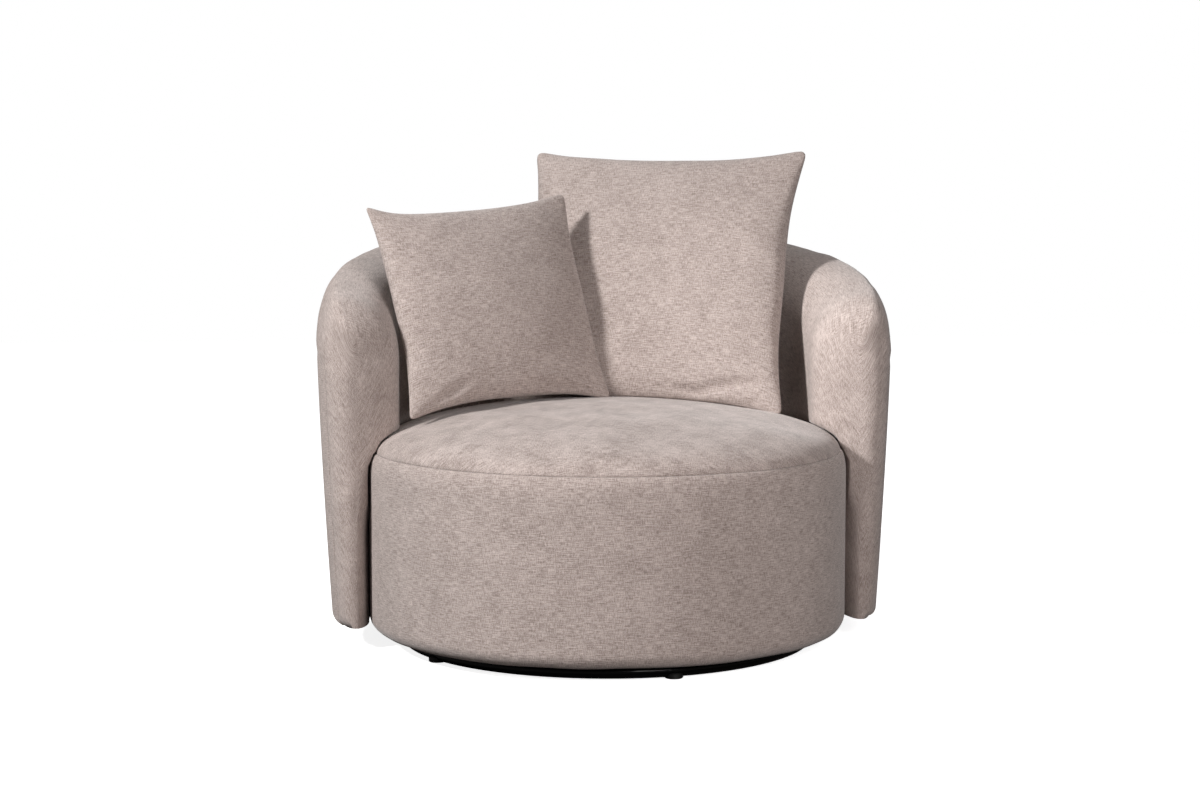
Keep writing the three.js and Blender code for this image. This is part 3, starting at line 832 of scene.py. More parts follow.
class Finishes:
    """Every finish of the chair."""

    upholstery = WovenCloth("taupe_weave", "ccbeb8", "7d6f68", 0.92, mottle=0.45)
    seat_upholstery = WovenCloth("taupe_weave_seat", "ccbeb8", "7d6f68", 0.92, mottle=1.1)
    thread = Solid("seam_thread", "978a83", "7d716a", 0.8, fine=900.0, relief=0.0001)
    steel = Solid("black_lacquer", "09090a", "050505", 0.16, specular=0.28, drop=0.03, rise=0.03)
    plastic = Solid("black_glide_plastic", "141414", "0c0c0c", 0.45)
    plain_steel = Solid("plain_steel", "9a9da1", "7c7f83", 0.35, metallic=1.0)
    plywood = Grained("sanded_plywood", "d3b488", "a98458", 0.75)
    webbing = Ribbed("elastic_webbing", "4a4440", "2c2825", 0.9)
    foam = Solid("seat_foam", "efe8d3", "d9d0b8", 0.95, fine=700.0, relief=0.0006)
    dust_cloth = Ribbed("dust_cloth", "242222", "141313", 0.95, threads=2400.0)

    by_slot = {Slot.BLACK_STEEL: steel, Slot.BLACK_PLASTIC: plastic, Slot.PLAIN_STEEL: plain_steel,
               Slot.PLYWOOD: plywood, Slot.WEBBING: webbing, Slot.FOAM: foam,
               Slot.BLACK_CLOTH: dust_cloth}


class SubAssembly:
    """A group of pieces that rides on one body of the frame."""

    body = Body.CHAIR

    def finish(self, piece: Piece, look: Finish, slot: Slot, *nodes: str) -> None:
        """Dresses a piece, lets it ride and hides the CAD nodes that it replaces.

        Args:
            piece: Finished mesh.
            look: Its finish.
            slot: Not used.
            nodes: CAD nodes that it replaces.
        """
        look.put_on(piece)
        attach(piece, self.body.value)
        if nodes:
            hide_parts(*nodes)
        LOG.info("%s: %d faces", piece.name, len(piece.data.polygons))


@dataclass
class StitchLine:
    """A row of short stitches along a line."""

    length: float = 0.0034
    thickness: float = 0.0009
    pitch: float = 0.0052
    sides: int = 6
    rings: int = 4

    def build(self, title: str, line: np.ndarray, out: np.ndarray,
              closed: bool) -> Piece:
        """Models one stitch and copies it along a line.

        Args:
            title: Name of the piece.
            line: Points of the line.
            out: Outward direction at each of them.
            closed: Whether the line ends where it starts.

        Returns:
            The row of stitches as one mesh.
        """
        Bench.clear()
        bpy.ops.mesh.primitive_uv_sphere_add(segments=self.sides, ring_count=self.rings,
                                             radius=0.5, rotation=(0, math.pi / 2, 0))
        piece = Bench.name(title)
        piece.scale = (self.length, self.thickness, self.thickness)
        bpy.ops.object.transform_apply(location=True, rotation=True, scale=False)
        bpy.ops.object.transform_apply(location=False, rotation=False, scale=True)
        one = Bench.points(piece)
        faces = [tuple(p.vertices) for p in piece.data.polygons]
        path = np.vstack([line, line[:1]]) if closed else line
        away = np.vstack([out, out[:1]]) if closed else out
        steps = np.linalg.norm(np.diff(path, axis=0), axis=1)
        distance = np.concatenate([[0], np.cumsum(steps)])
        count = max(int(distance[-1] / self.pitch), 1)
        stops = (np.arange(count) + 0.5) * distance[-1] / count
        places, polygons = [], []
        for k, stop in enumerate(stops):
            centre, ahead, behind, up = (
                np.array([np.interp(s, distance, source[:, axis]) for axis in range(3)])
                for s, source in ((stop, path), (stop + self.length, path),
                                  (stop - self.length, path), (stop, away)))
            along = ahead - behind
            along = along / (np.linalg.norm(along) or 1)
            up = up - along * (up @ along)
            up = up / (np.linalg.norm(up) or 1)
            side = np.cross(up, along)
            places.append(centre + one @ np.array([along, side, up]))
            polygons += [tuple(v + k * len(one) for v in face) for face in faces]
        mesh = bpy.data.meshes.new(title)
        mesh.from_pydata(np.vstack(places).tolist(), [], polygons)
        piece.data = mesh
        Bench.mend(piece)
        Bench.smooth(piece)
        return piece


@dataclass
class RingBase(SubAssembly):
    """Swivel ring base: the tube ring and its glides."""

    plan: Plan
    ring_radius: float = 0.385
    tube: float = 0.024
    lift: float = 0.002
    tube_sides: int = 24
    ring_steps: int = 144
    weld_angle: float = math.radians(18)
    weld_width: float = 0.006
    weld_rise: float = 0.0008
    glide_count: int = 5
    glide_turn: float = math.radians(12)
    glide_radius: float = 0.017
    glide_height: float = 0.011
    glide_bevel: float = 0.0014
    glide_insets: int = 9
    glide_sides: int = 40
    glide_smooth: float = math.radians(35)
    body = Body.BASE

    def build(self) -> None:
        """Builds the ring and the glides."""
        self.ring()
        self.glides()

    def ring(self) -> None:
        """Spins the bent tube, with the bead where its ends are welded."""
        profile = arc((self.ring_radius, self.lift + self.tube / 2), (self.tube / 2, self.tube / 2),
                      0, 2 * math.pi, self.tube_sides)[:-1]
        piece = Bench.spin("ring_tube", profile, 0, 2 * math.pi, self.ring_steps)
        places = Bench.points(piece)
        turn = np.arctan2(places[:, 0], places[:, 1])
        centre = np.stack([self.ring_radius * np.sin(turn), self.ring_radius * np.cos(turn),
                           np.full(len(turn), self.lift + self.tube / 2)], axis=1)
        away = np.abs(turn - self.weld_angle) * self.ring_radius
        bead = 1 + 2 * self.weld_rise / self.tube * np.exp(-(away / self.weld_width) ** 2)
        places = centre + (places - centre) * bead[:, None]
        places[:, 1] += self.plan.swivel_y
        Bench.put(piece, places)
        Bench.mend(piece)
        Bench.smooth(piece)
        self.finish(piece, Finishes.steel, Slot.BLACK_STEEL, "base_ring")

    def glides(self) -> None:
        """Models one saddle glide and copies it round the ring."""
        Bench.clear()
        bpy.ops.mesh.primitive_cylinder_add(vertices=self.glide_sides, radius=self.glide_radius,
                                            depth=self.glide_height,
                                            location=(0, 0, self.glide_height / 2))
        first = Bench.name("glide_model")
        Bench.settle(first)
        Bench.round_caps(first, self.glide_bevel, self.glide_insets)
        self.cup(first)
        for k in range(self.glide_count):
            piece = Bench.copy(first, f"glide_pad_{k + 1}")
            angle = self.glide_turn + 2 * math.pi * k / self.glide_count
            places = Bench.points(piece)
            cos, sin = math.cos(angle), math.sin(angle)
            turned = np.stack([places[:, 0] * cos - places[:, 1] * sin,
                               places[:, 0] * sin + places[:, 1] * cos, places[:, 2]], axis=1)
            turned[:, 0] += self.ring_radius * sin
            turned[:, 1] += self.plan.swivel_y - self.ring_radius * cos
            Bench.put(piece, turned)
            Bench.smooth(piece, self.glide_smooth)
            self.finish(piece, Finishes.plastic, Slot.BLACK_PLASTIC, f"glide_{k + 1}")
        bpy.data.objects.remove(first)

    def cup(self, piece: Piece) -> None:
        """Presses the saddle into a glide that stands under the ring at the origin.

        Args:
            piece: The round glide, before it is set in its place.
        """
        places = Bench.points(piece)
        away = np.abs(np.hypot(places[:, 0], places[:, 1] - self.ring_radius) - self.ring_radius)
        radius = self.tube / 2 + self.plan.clearance
        saddle = self.lift + self.tube / 2 - np.sqrt(np.maximum(radius ** 2 - away ** 2, 0))
        high = (places[:, 2] > self.glide_height / 2) & (away < radius)
        places[high, 2] = np.minimum(places[high, 2], saddle[high])
        Bench.put(piece, places)


@dataclass
class DrumSeat(SubAssembly):
    """Drum seat: side band, crowned top and the seam between them."""

    plan: Plan
    rounding: float = 0.028
    lip: float = 0.398
    inner: float = 0.4335
    band_foot: float = 0.0395
    foam_foot: float = 0.3149
    foam_middle: float = 0.34
    foam_shares: tuple[float, ...] = (0.7, 0.35, 0.0)
    groove: float = 0.0010
    groove_height: float = 0.0008
    # Where each cover turns into the groove: a share of its depth and a height off the seam.
    band_edge: Point = (0.4, 0.0001)
    top_edge: Point = (0.5, 0.0002)
    band_hem: float = 0.0007
    top_hem: float = 0.0004
    hem_depth: float = 0.02
    foot_steps: int = 10
    side_steps: int = 16
    shoulder_steps: int = 12
    inner_steps: int = 8
    dome_steps: int = 44
    steps: int = 240
    smooth_angle: float = math.radians(70)
    # The unevenness fades between two drops below the seam and two angles from the front.
    band_swell: Swell = Swell(0.0022, 9.0, 3.1)
    band_calm: Point = (0.06, 0.01)
    band_front: Point = (math.radians(62), math.radians(80))
    # On the top it fades between two places along Y and near the rim.
    top_swell: Swell = Swell(0.0034, 9.0, 7.7)
    top_front: Point = (-0.10, 0.02)
    top_calm: float = 0.03
    stitch_inset: float = 0.0012
    stitch_rise: float = 0.0002
    body = Body.CHAIR

    def build(self) -> None:
        """Builds the band, the top and their stitches."""
        self.band()
        self.top()
        self.stitches()

    def cover(self, title: str, profile: list[Point], calm: Callable[[np.ndarray], np.ndarray],
              swell: Swell) -> Piece:
        """Spins one cover of the drum and lays its cloth.

        Args:
            title: Name of the piece.
            profile: Its closed profile.
            calm: Share of the unevenness for given places.
            swell: Its unevenness.

        Returns:
            The piece.
        """
        piece = Bench.spin(title, profile, 0, 2 * math.pi, self.steps)
        places = Bench.points(piece)
        index = Bench.indices(piece, profile)
        line = np.array(profile)
        run = np.concatenate([[0], np.cumsum(np.linalg.norm(np.diff(line, axis=0), axis=1))])
        turn = np.arctan2(places[:, 0], -places[:, 1])
        if title == "seat_top":
            stretch = run[index] / np.maximum(np.hypot(places[:, 0], places[:, 1]), MERGE)
            Bench.lay_cloth(piece, places[:, 0] * stretch, places[:, 1] * stretch)
        else:
            Bench.lay_cloth(piece, turn * self.plan.drum_radius, run[index])
        places[:, 1] += self.plan.swivel_y
        Bench.put(piece, places)
        Bench.mend(piece)
        Bench.soften(piece, swell, calm(Bench.points(piece)))
        Bench.smooth(piece, self.smooth_angle)
        return piece

    def front(self, places: np.ndarray) -> np.ndarray:
        """Share that is 1 on the open front and 0 at the seam and where the shell closes in."""
        turn = np.abs(np.arctan2(places[:, 0], self.plan.swivel_y - places[:, 1]))
        low, high = (self.plan.seam_height - drop for drop in self.band_calm)
        return (1 - smoothstep(*self.band_front, turn)) * (1 - smoothstep(low, high, places[:, 2]))

    def band(self) -> None:
        """Side band with a rounded foot and a shoulder that draws in to the seam."""
        plan = self.plan
        foot = arc((plan.drum_radius - self.rounding, plan.drum_bottom + self.rounding),
                   (self.rounding, self.rounding), -math.pi / 2, 0, self.foot_steps)
        side = [(plan.drum_radius, z) for z in np.linspace(
            foot[-1][1], plan.seam_height - plan.shoulder, self.side_steps)[1:-1]]
        shoulder = arc((plan.seam_radius, plan.seam_height - plan.shoulder),
                       (plan.drum_radius - plan.seam_radius, plan.shoulder), 0, math.pi / 2,
                       self.shoulder_steps)
        share, drop = self.band_edge
        hem = plan.seam_height - self.band_hem
        edge = [(plan.seam_radius - self.groove * share, plan.seam_height - drop),
                (plan.seam_radius - self.groove, hem), (self.inner, hem)]
        inside = [(self.inner, z) for z in np.linspace(plan.seam_height - self.hem_depth,
                                                       self.band_foot, self.inner_steps)]
        profile = [(self.lip, plan.drum_bottom), *foot, *side, *shoulder[:-1], *edge, *inside,
                   (self.lip, self.band_foot)]
        piece = self.cover("drum_band", profile, self.front, self.band_swell)
        self.finish(piece, Finishes.upholstery, Slot.UPHOLSTERY, "drum_side_band")

    def top(self) -> None:
        """Crowned top whose rim turns into the seam."""
        plan = self.plan
        dome = arc((0, plan.seam_height + plan.clearance), (plan.seam_radius, plan.crown),
                   math.pi / 2, math.asin(self.groove_height / plan.crown), self.dome_steps)
        share, rise = self.top_edge
        side = self.inner - plan.clearance
        rim = [(plan.seam_radius - self.groove * share, plan.seam_height + rise),
               (plan.seam_radius - self.groove, plan.seam_height - plan.clearance)]
        under = [(side, z) for z in (plan.seam_height - self.top_hem, self.foam_middle,
                                     self.foam_foot)]
        under += [(self.inner * part, self.foam_foot) for part in self.foam_shares]
        piece = self.cover("seat_top", [*dome, *rim, *under], self.calm_top, self.top_swell)
        self.finish(piece, Finishes.seat_upholstery, Slot.UPHOLSTERY, "seat_top_cover", "seat_foam")

    def calm_top(self, places: np.ndarray) -> np.ndarray:
        """Share of the unevenness on the top: none at the rim, under it and under the cushions."""
        distance = np.hypot(places[:, 0], places[:, 1] - self.plan.swivel_y)
        open_part = 1 - smoothstep(*self.top_front, places[:, 1])
        rim = 1 - smoothstep(self.plan.seam_radius - self.top_calm, self.plan.seam_radius, distance)
        return open_part * rim * (places[:, 2] > self.plan.seam_height)

    def stitches(self) -> None:
        """Stitches of the top seam."""
        plan = self.plan
        turns = np.linspace(0, 2 * math.pi, self.steps, endpoint=False)
        away = np.stack([np.sin(turns), -np.cos(turns), np.zeros(len(turns))], axis=1)
        line = away * (plan.seam_radius - self.stitch_inset)
        line[:, 1] += plan.swivel_y
        line[:, 2] = plan.seam_height + self.stitch_rise
        piece = StitchLine(length=0.004, pitch=0.0062).build("seat_seam_stitches", line, away, True)
        self.finish(piece, Finishes.thread, Slot.UPHOLSTERY)


@dataclass
class Shell(SubAssembly):
    """Wrap-around shell: padded roll and arm fronts in one cover, and the plain outer panel."""

    plan: Plan
    crest: float = 0.513
    roll_share: float = 2.05
    inner: float = 0.400
    inner_drop: float = 0.110
    inner_share: float = 2.2
    hollow: float = 0.036
    panel: float = 0.004
    foot_rounding: float = 0.014
    nose_depth: float = 0.075
    nose_centre: float = 0.497
    nose_drop: float = 0.072
    nose_share: float = 2.4
    nose_shares: tuple[float, ...] = (0.06, 0.12, 0.19, 0.26, 0.30, 0.325, 0.333, 0.341, 0.39, 0.45,
                                      0.52, 0.59, 0.66, 0.72, 0.78, 0.84, 0.89, 0.94, 0.975, 1.0)
    seam_step: int = 7
    seat_gap: float = 0.0022
    nose_spread: float = 0.005
    nose_open: float = 0.012
    open_share: float = 0.8
    round_in: float = 0.14
    seam_dip: float = 0.0015
    cloth_radius: float = 0.48
    pole_reach: float = 0.035
    pole_rounds: int = 40
    steps: int = 160
    wall_steps: int = 36
    roll_steps: int = 14
    inner_steps: int = 18
    face_steps: int = 12
    rim_steps: int = 6
    side_steps: int = 14
    guide_radius: float = 0.3
    smooth_angle: float = math.radians(70)
    # The unevenness fades in over these heights, or past the reach and clear of the drum.
    swells: tuple[Swell, ...] = (Swell(0.0032, 8.0, 1.3), Swell(0.0012, 22.0, 5.3))
    soft_heights: Point = (0.47, 0.52)
    soft_turns: Point = (0.02, 0.06)
    soft_room: Point = (0.01, 0.04)
    panel_steps: int = 45
    panel_spacing: float = 1.6
    dip_height: float = 0.004
    stitch_foot: float = 0.02
    stitch_top: float = 0.004
    stitch_points: int = 60
    stitch_rise: float = 0.0002
    stitch_turn: float = 0.7
    body = Body.CHAIR

    def build(self) -> None:
        """Builds the padded cover, the outer panel and the seams of the arm fronts."""
        self.cover()
        self.outer_panel()
        self.arm_stitches()

    def stops(self) -> list[Stop]:
        """Places of the sections from the left arm front round the back to the right one.

        Returns:
            One stop for each section.
        """
        plan = self.plan
        nose = []
        for k, share in enumerate(self.nose_shares):
            turn = math.pi / 2 * share
            ahead = math.sin(turn) ** (2 / self.nose_share) * self.nose_depth / self.nose_centre
            width = math.cos(turn) ** (2 / self.nose_share) if share < 1 else 0.0
            nose.append(Stop(plan.reach + ahead, width, k + 1))
        middle = [Stop(a, 1.0, 0) for a in np.linspace(-plan.reach, plan.reach, self.steps + 1)]
        left = [Stop(-a, w, k) for a, w, k in reversed(nose)]
        return [*left, *middle, *nose]

    def draw(self, radius: float, width: float) -> float:
        """Draws a radius in towards the foremost line of the arm front."""
        return self.nose_centre + (radius - self.nose_centre) * width

    def back(self, stop: Stop) -> list[Point]:
        """Back of a section: the hollow for the frame, the bed of the panel or the bare wall.

        Args:
            stop: Place of the section.

        Returns:
            Points from the foot up to the roll.
        """
        plan = self.plan
        angle, width, step = stop
        seam = plan.panel_seam(angle)
        bed = self.panel + plan.clearance
        depth = self.hollow if step == 0 else bed if step < self.seam_step else 0.0
        if step == self.seam_step:
            depth = self.seam_dip
        curve = 0.0 if step == 0 else self.foot_rounding
        points = []
        for height in np.linspace(plan.shell_bottom, seam, self.wall_steps + 1):
            below = max(plan.shell_bottom + curve - height, 0.0)
            bend = curve - math.sqrt(max(curve * curve - below * below, 0.0))
            points.append((self.draw(plan.wall(height) - depth - bend, width), height))
        return points

    def section(self, stop: Stop) -> list[Point]:
        """Closed section of the padded cover.

        Args:
            stop: Place of the section.

        Returns:
            Its points as radius and height, up the back, over the roll and down the inside.
        """
        plan = self.plan
        angle, width, step = stop
        top, seam = plan.top_line(angle), plan.panel_seam(angle)
        back = self.back(stop)
        dip = self.seam_dip if step < self.seam_step else 0.0
        outer = quarter((plan.wall(seam), seam + plan.clearance), (self.crest, top),
                        self.roll_share, self.roll_steps)
        outer[0] = (outer[0][0] - dip, outer[0][1])
        inner = quarter((self.inner, top - self.inner_drop), (self.crest, top), self.inner_share,
                        self.inner_steps)[::-1]
        rim = plan.seam_radius + self.seat_gap
        near = self.draw(self.inner, width)
        start = math.asin(min(plan.from_swivel(near, angle) / rim, 1))
        lift = self.seat_gap + self.nose_spread * (1 - width)
        crown = []
        for turn in np.linspace(start, math.pi / 2, self.rim_steps + 1):
            radius = max(plan.towards_swivel(rim * math.sin(turn), angle), near)
            distance = plan.from_swivel(radius, angle) * plan.seam_radius / rim
            crown.append((radius, float(plan.seat_height(distance)) + lift))
        face = [(self.inner, z) for z in np.linspace(inner[-1][1], crown[0][1],
                                                     self.face_steps + 1)[1:-1]]

        def lowered(point: Point) -> Point:
            share = max(point[1] - seam, 0) / (top - seam)
            return self.draw(point[0], width), point[1] - self.nose_drop * (1 - width) * share

        upper = [lowered(p) for p in [*outer, *inner[1:], *face]]
        side = []
        for height in np.linspace(plan.seam_height, plan.shell_bottom, self.side_steps + 1):
            gap = plan.clearance + self.nose_open * (1 - width) ** self.open_share
            radius = plan.towards_swivel(self.drum_wall(height) + gap, angle)
            rounded = smoothstep(0, self.round_in, plan.seam_height - height)
            inner_side = self.inner + (radius - self.inner) * rounded
            side.append((max(radius, self.draw(inner_side, width)), height))
        return [*back, *upper, *crown, *side]

    def drum_wall(self, height: float) -> float:
        """Radius of the drum's side at a height above its rounded foot."""
        plan = self.plan
        rise = max(height - (plan.seam_height - plan.shoulder), 0) / plan.shoulder
        inset = plan.drum_radius - plan.seam_radius
        return plan.seam_radius + inset * math.sqrt(max(1 - rise * rise, 0))

    def sweep(self, title: str, stops: list[Stop],
              section: Callable[[Stop], list[Point]],
              crest: int = 0) -> Piece:
        """Spins a closed loop round the shell's centre and sets each section in its place.

        Args:
            title: Name of the piece.
            stops: Place of each section.
            section: Makes the points of a section.
            crest: Point of the section on the roll's crest, or 0 for a plain panel.

        Returns:
            The piece, with its cloth laid and open ends.
        """
        tables = np.array([section(stop) for stop in stops])
        guide = arc((1.0, 0.0), (self.guide_radius, self.guide_radius), 0, 2 * math.pi, tables.shape[1])[:-1]
        first, last = -1.0, 1.0
        piece = Bench.spin(title, guide, first, last, len(stops) - 1)
        places = Bench.points(piece)
        index = Bench.indices(piece, guide)
        turn = np.arctan2(places[:, 0], places[:, 1])
        row = np.rint((turn - first) / (last - first) * (len(stops) - 1)).astype(int)
        angle = np.array([stop.angle for stop in stops])[row]
        radius, height = tables[row, index, 0], tables[row, index, 1]
        Bench.put(piece, np.stack([radius * np.sin(angle),
                                   radius * np.cos(angle) + self.plan.shell_y, height], axis=1))
        self.lay_patches(piece, stops, tables, row, index, crest)
        return piece

    def lay_patches(self, piece: Piece, stops: list[Stop],
                    tables: np.ndarray, row: np.ndarray, index: np.ndarray, crest: int) -> None:
        """Lays one cloth over the roll and the inside and on round each arm front.

        Args:
            piece: The swept piece.
            stops: Place of each section.
            tables: Radius and height of each point of each section.
            row: Section of each vertex.
            index: Point of its section for each vertex.
            crest: Point of the section on the roll's crest, or 0 for a plain panel.
        """
        angle = np.array([stop.angle for stop in stops])[:, None]
        nose = np.array([stop.step for stop in stops])
        run = np.linalg.norm(np.diff(tables, axis=1), axis=2)
        run = np.concatenate([np.zeros((len(stops), 1)), np.cumsum(run, axis=1)], axis=1)
        down = run - run[:, crest:crest + 1]
        spots = np.stack([tables[:, :, 0] * np.sin(angle), tables[:, :, 0] * np.cos(angle)], axis=2)
        step = np.linalg.norm(np.diff(spots, axis=0), axis=2)
        side = np.sign(angle)
        walked = np.zeros(down.shape)
        for k in range(1, nose.max() + 1):
            left, right = np.flatnonzero(nose == k)
            walked[left] = (walked[left + 1] if k > 1 else 0) + step[left]
            walked[right] = (walked[right - 1] if k > 1 else 0) + step[right - 1]
        total = walked[0] + walked[0, ::-1]
        reach = self.plan.reach
        main = side * (np.minimum(np.abs(angle), reach) * self.cloth_radius + walked)
        front = side * (reach * self.cloth_radius + total - walked)
        corners = Bench.corners(piece)
        count = np.zeros(len(piece.data.polygons), dtype=np.int32)
        piece.data.polygons.foreach_get("loop_total", count)
        first = np.concatenate([[0], np.cumsum(count)[:-1]])
        r, i = row[corners], index[corners]
        ahead = np.maximum.reduceat(nose[r], first) > 0
        outside = np.minimum.reduceat(i, first) < crest
        around = np.repeat(ahead & outside, count)
        Bench.lay_corners(piece, np.where(around, front[r, i], main[r, i]),
                          np.where(around, -down[r, i], down[r, i]))

    def cover(self) -> None:
        """Padded cover: inner wall, roll and both arm fronts."""
        piece = self.sweep("shell_cover", self.stops(), self.closing_section,
                           self.wall_steps + 1 + self.roll_steps)
        Bench.mend(piece)
        self.calm_poles(piece)
        places = Bench.points(piece)
        turn = np.abs(np.arctan2(places[:, 0], places[:, 1] - self.plan.shell_y))
        radius = np.hypot(places[:, 0], places[:, 1] - self.plan.shell_y)
        above = smoothstep(*self.soft_heights, places[:, 2])
        ahead = smoothstep(*(self.plan.reach + turned for turned in self.soft_turns), turn)
        clear = smoothstep(*(self.plan.drum_radius + room for room in self.soft_room), radius)
        share = np.maximum(above, ahead * clear)
        for swell in self.swells:
            Bench.soften(piece, swell, share)
        Bench.smooth(piece, self.smooth_angle)
        self.finish(piece, Finishes.upholstery, Slot.UPHOLSTERY, "shell_pad")

    def calm_poles(self, piece: Piece) -> None:
        """Smooths the spot on each arm front where the crests of its sections run together.

        Args:
            piece: The padded cover.
        """
        pole = self.plan.top_line(self.stops()[-1].angle) - self.nose_drop
        near = self.stops()[-1 - len(self.nose_shares) // 2].angle
        with Bench.editing(piece):
            bpy.ops.mesh.select_all(action="DESELECT")
        for corner in piece.data.vertices:
            turn = abs(math.atan2(corner.co.x, corner.co.y - self.plan.shell_y))
            corner.select = turn > near and abs(corner.co.z - pole) < self.pole_reach
        with Bench.editing(piece):
            bpy.ops.mesh.vertices_smooth(factor=0.5, repeat=self.pole_rounds)

    def closing_section(self, stop: Stop) -> list[Point]:
        """Section whose two halves come together in height as it narrows.

        Args:
            stop: Place of the section.

        Returns:
            The points of the section.
        """
        points = np.array(self.section(stop))
        if stop.width == 0.0:
            points[:, 1] = (points[:, 1] + points[::-1, 1]) / 2
        return [tuple(p) for p in points]

    def panel_section(self, stop: Stop) -> list[Point]:
        """Closed section of the outer panel, with its foot turned in and its edges dipped.

        Args:
            stop: Place of the section.

        Returns:
            Points up the outside and down the inside.
        """
        plan = self.plan
        angle, width, step = stop
        top = plan.panel_seam(angle)
        rim = self.seam_dip if step == self.seam_step - 1 else 0.0
        faces = []
        for depth in (0.0, self.panel):
            line = []
            curve = self.foot_rounding - depth
            low = plan.shell_bottom + depth
            for share in np.linspace(0, 1, self.panel_steps) ** self.panel_spacing:
                z = low + (top - plan.shell_bottom - depth) * share
                below = max(plan.shell_bottom + self.foot_rounding - z, 0.0)
                bend = curve - math.sqrt(max(curve * curve - below * below, 0.0))
                dip = self.seam_dip * float(smoothstep(top - self.dip_height, top, z)) * (depth == 0)
                radius = plan.wall(z) - depth - bend - max(dip, rim * (depth == 0))
                line.append((self.draw(radius, width), z))
            faces.append(line)
        return [*faces[0], *faces[1][::-1]]

    def outer_panel(self) -> None:
        """Outer panel that runs round the back from one arm front's seam to the other."""
        stops = [s for s in self.stops() if s.step < self.seam_step]
        piece = self.sweep("shell_outside", stops, self.panel_section)
        Bench.close_ends(piece)
        Bench.mend(piece)
        Bench.smooth(piece)
        self.finish(piece, Finishes.upholstery, Slot.UPHOLSTERY, "shell_outer_panel")

    def arm_stitches(self) -> None:
        """Topstitching beside the seam of each arm front."""
        plan = self.plan
        for side, title in ((-1, "left_arm_stitches"), (1, "right_arm_stitches")):
            stops = {s.step: s for s in self.stops() if s.angle * side > 0 and s.step}
            angle, width, _ = stops[self.seam_step + 1]
            turn = angle + side * self.stitch_turn
            heights = np.linspace(plan.shell_bottom + self.stitch_foot,
                                  plan.panel_seam(angle) - self.stitch_top, self.stitch_points)
            line = []
            for height in heights:
                radius = self.draw(plan.wall(height), width) + self.stitch_rise
                line.append((radius * math.sin(angle), radius * math.cos(angle) + plan.shell_y,
                             height))
            away = np.array([(math.sin(turn), math.cos(turn), 0.0)] * len(line))
            piece = StitchLine().build(title, np.array(line), away, False)
            self.finish(piece, Finishes.thread, Slot.UPHOLSTERY)


@dataclass(frozen=True)
class Crease:
    """A gather in a cushion's cover, on one of its faces."""

    x: float
    z: float
    turn: float
    length: float
    width: float
    depth: float
    side: int = -1


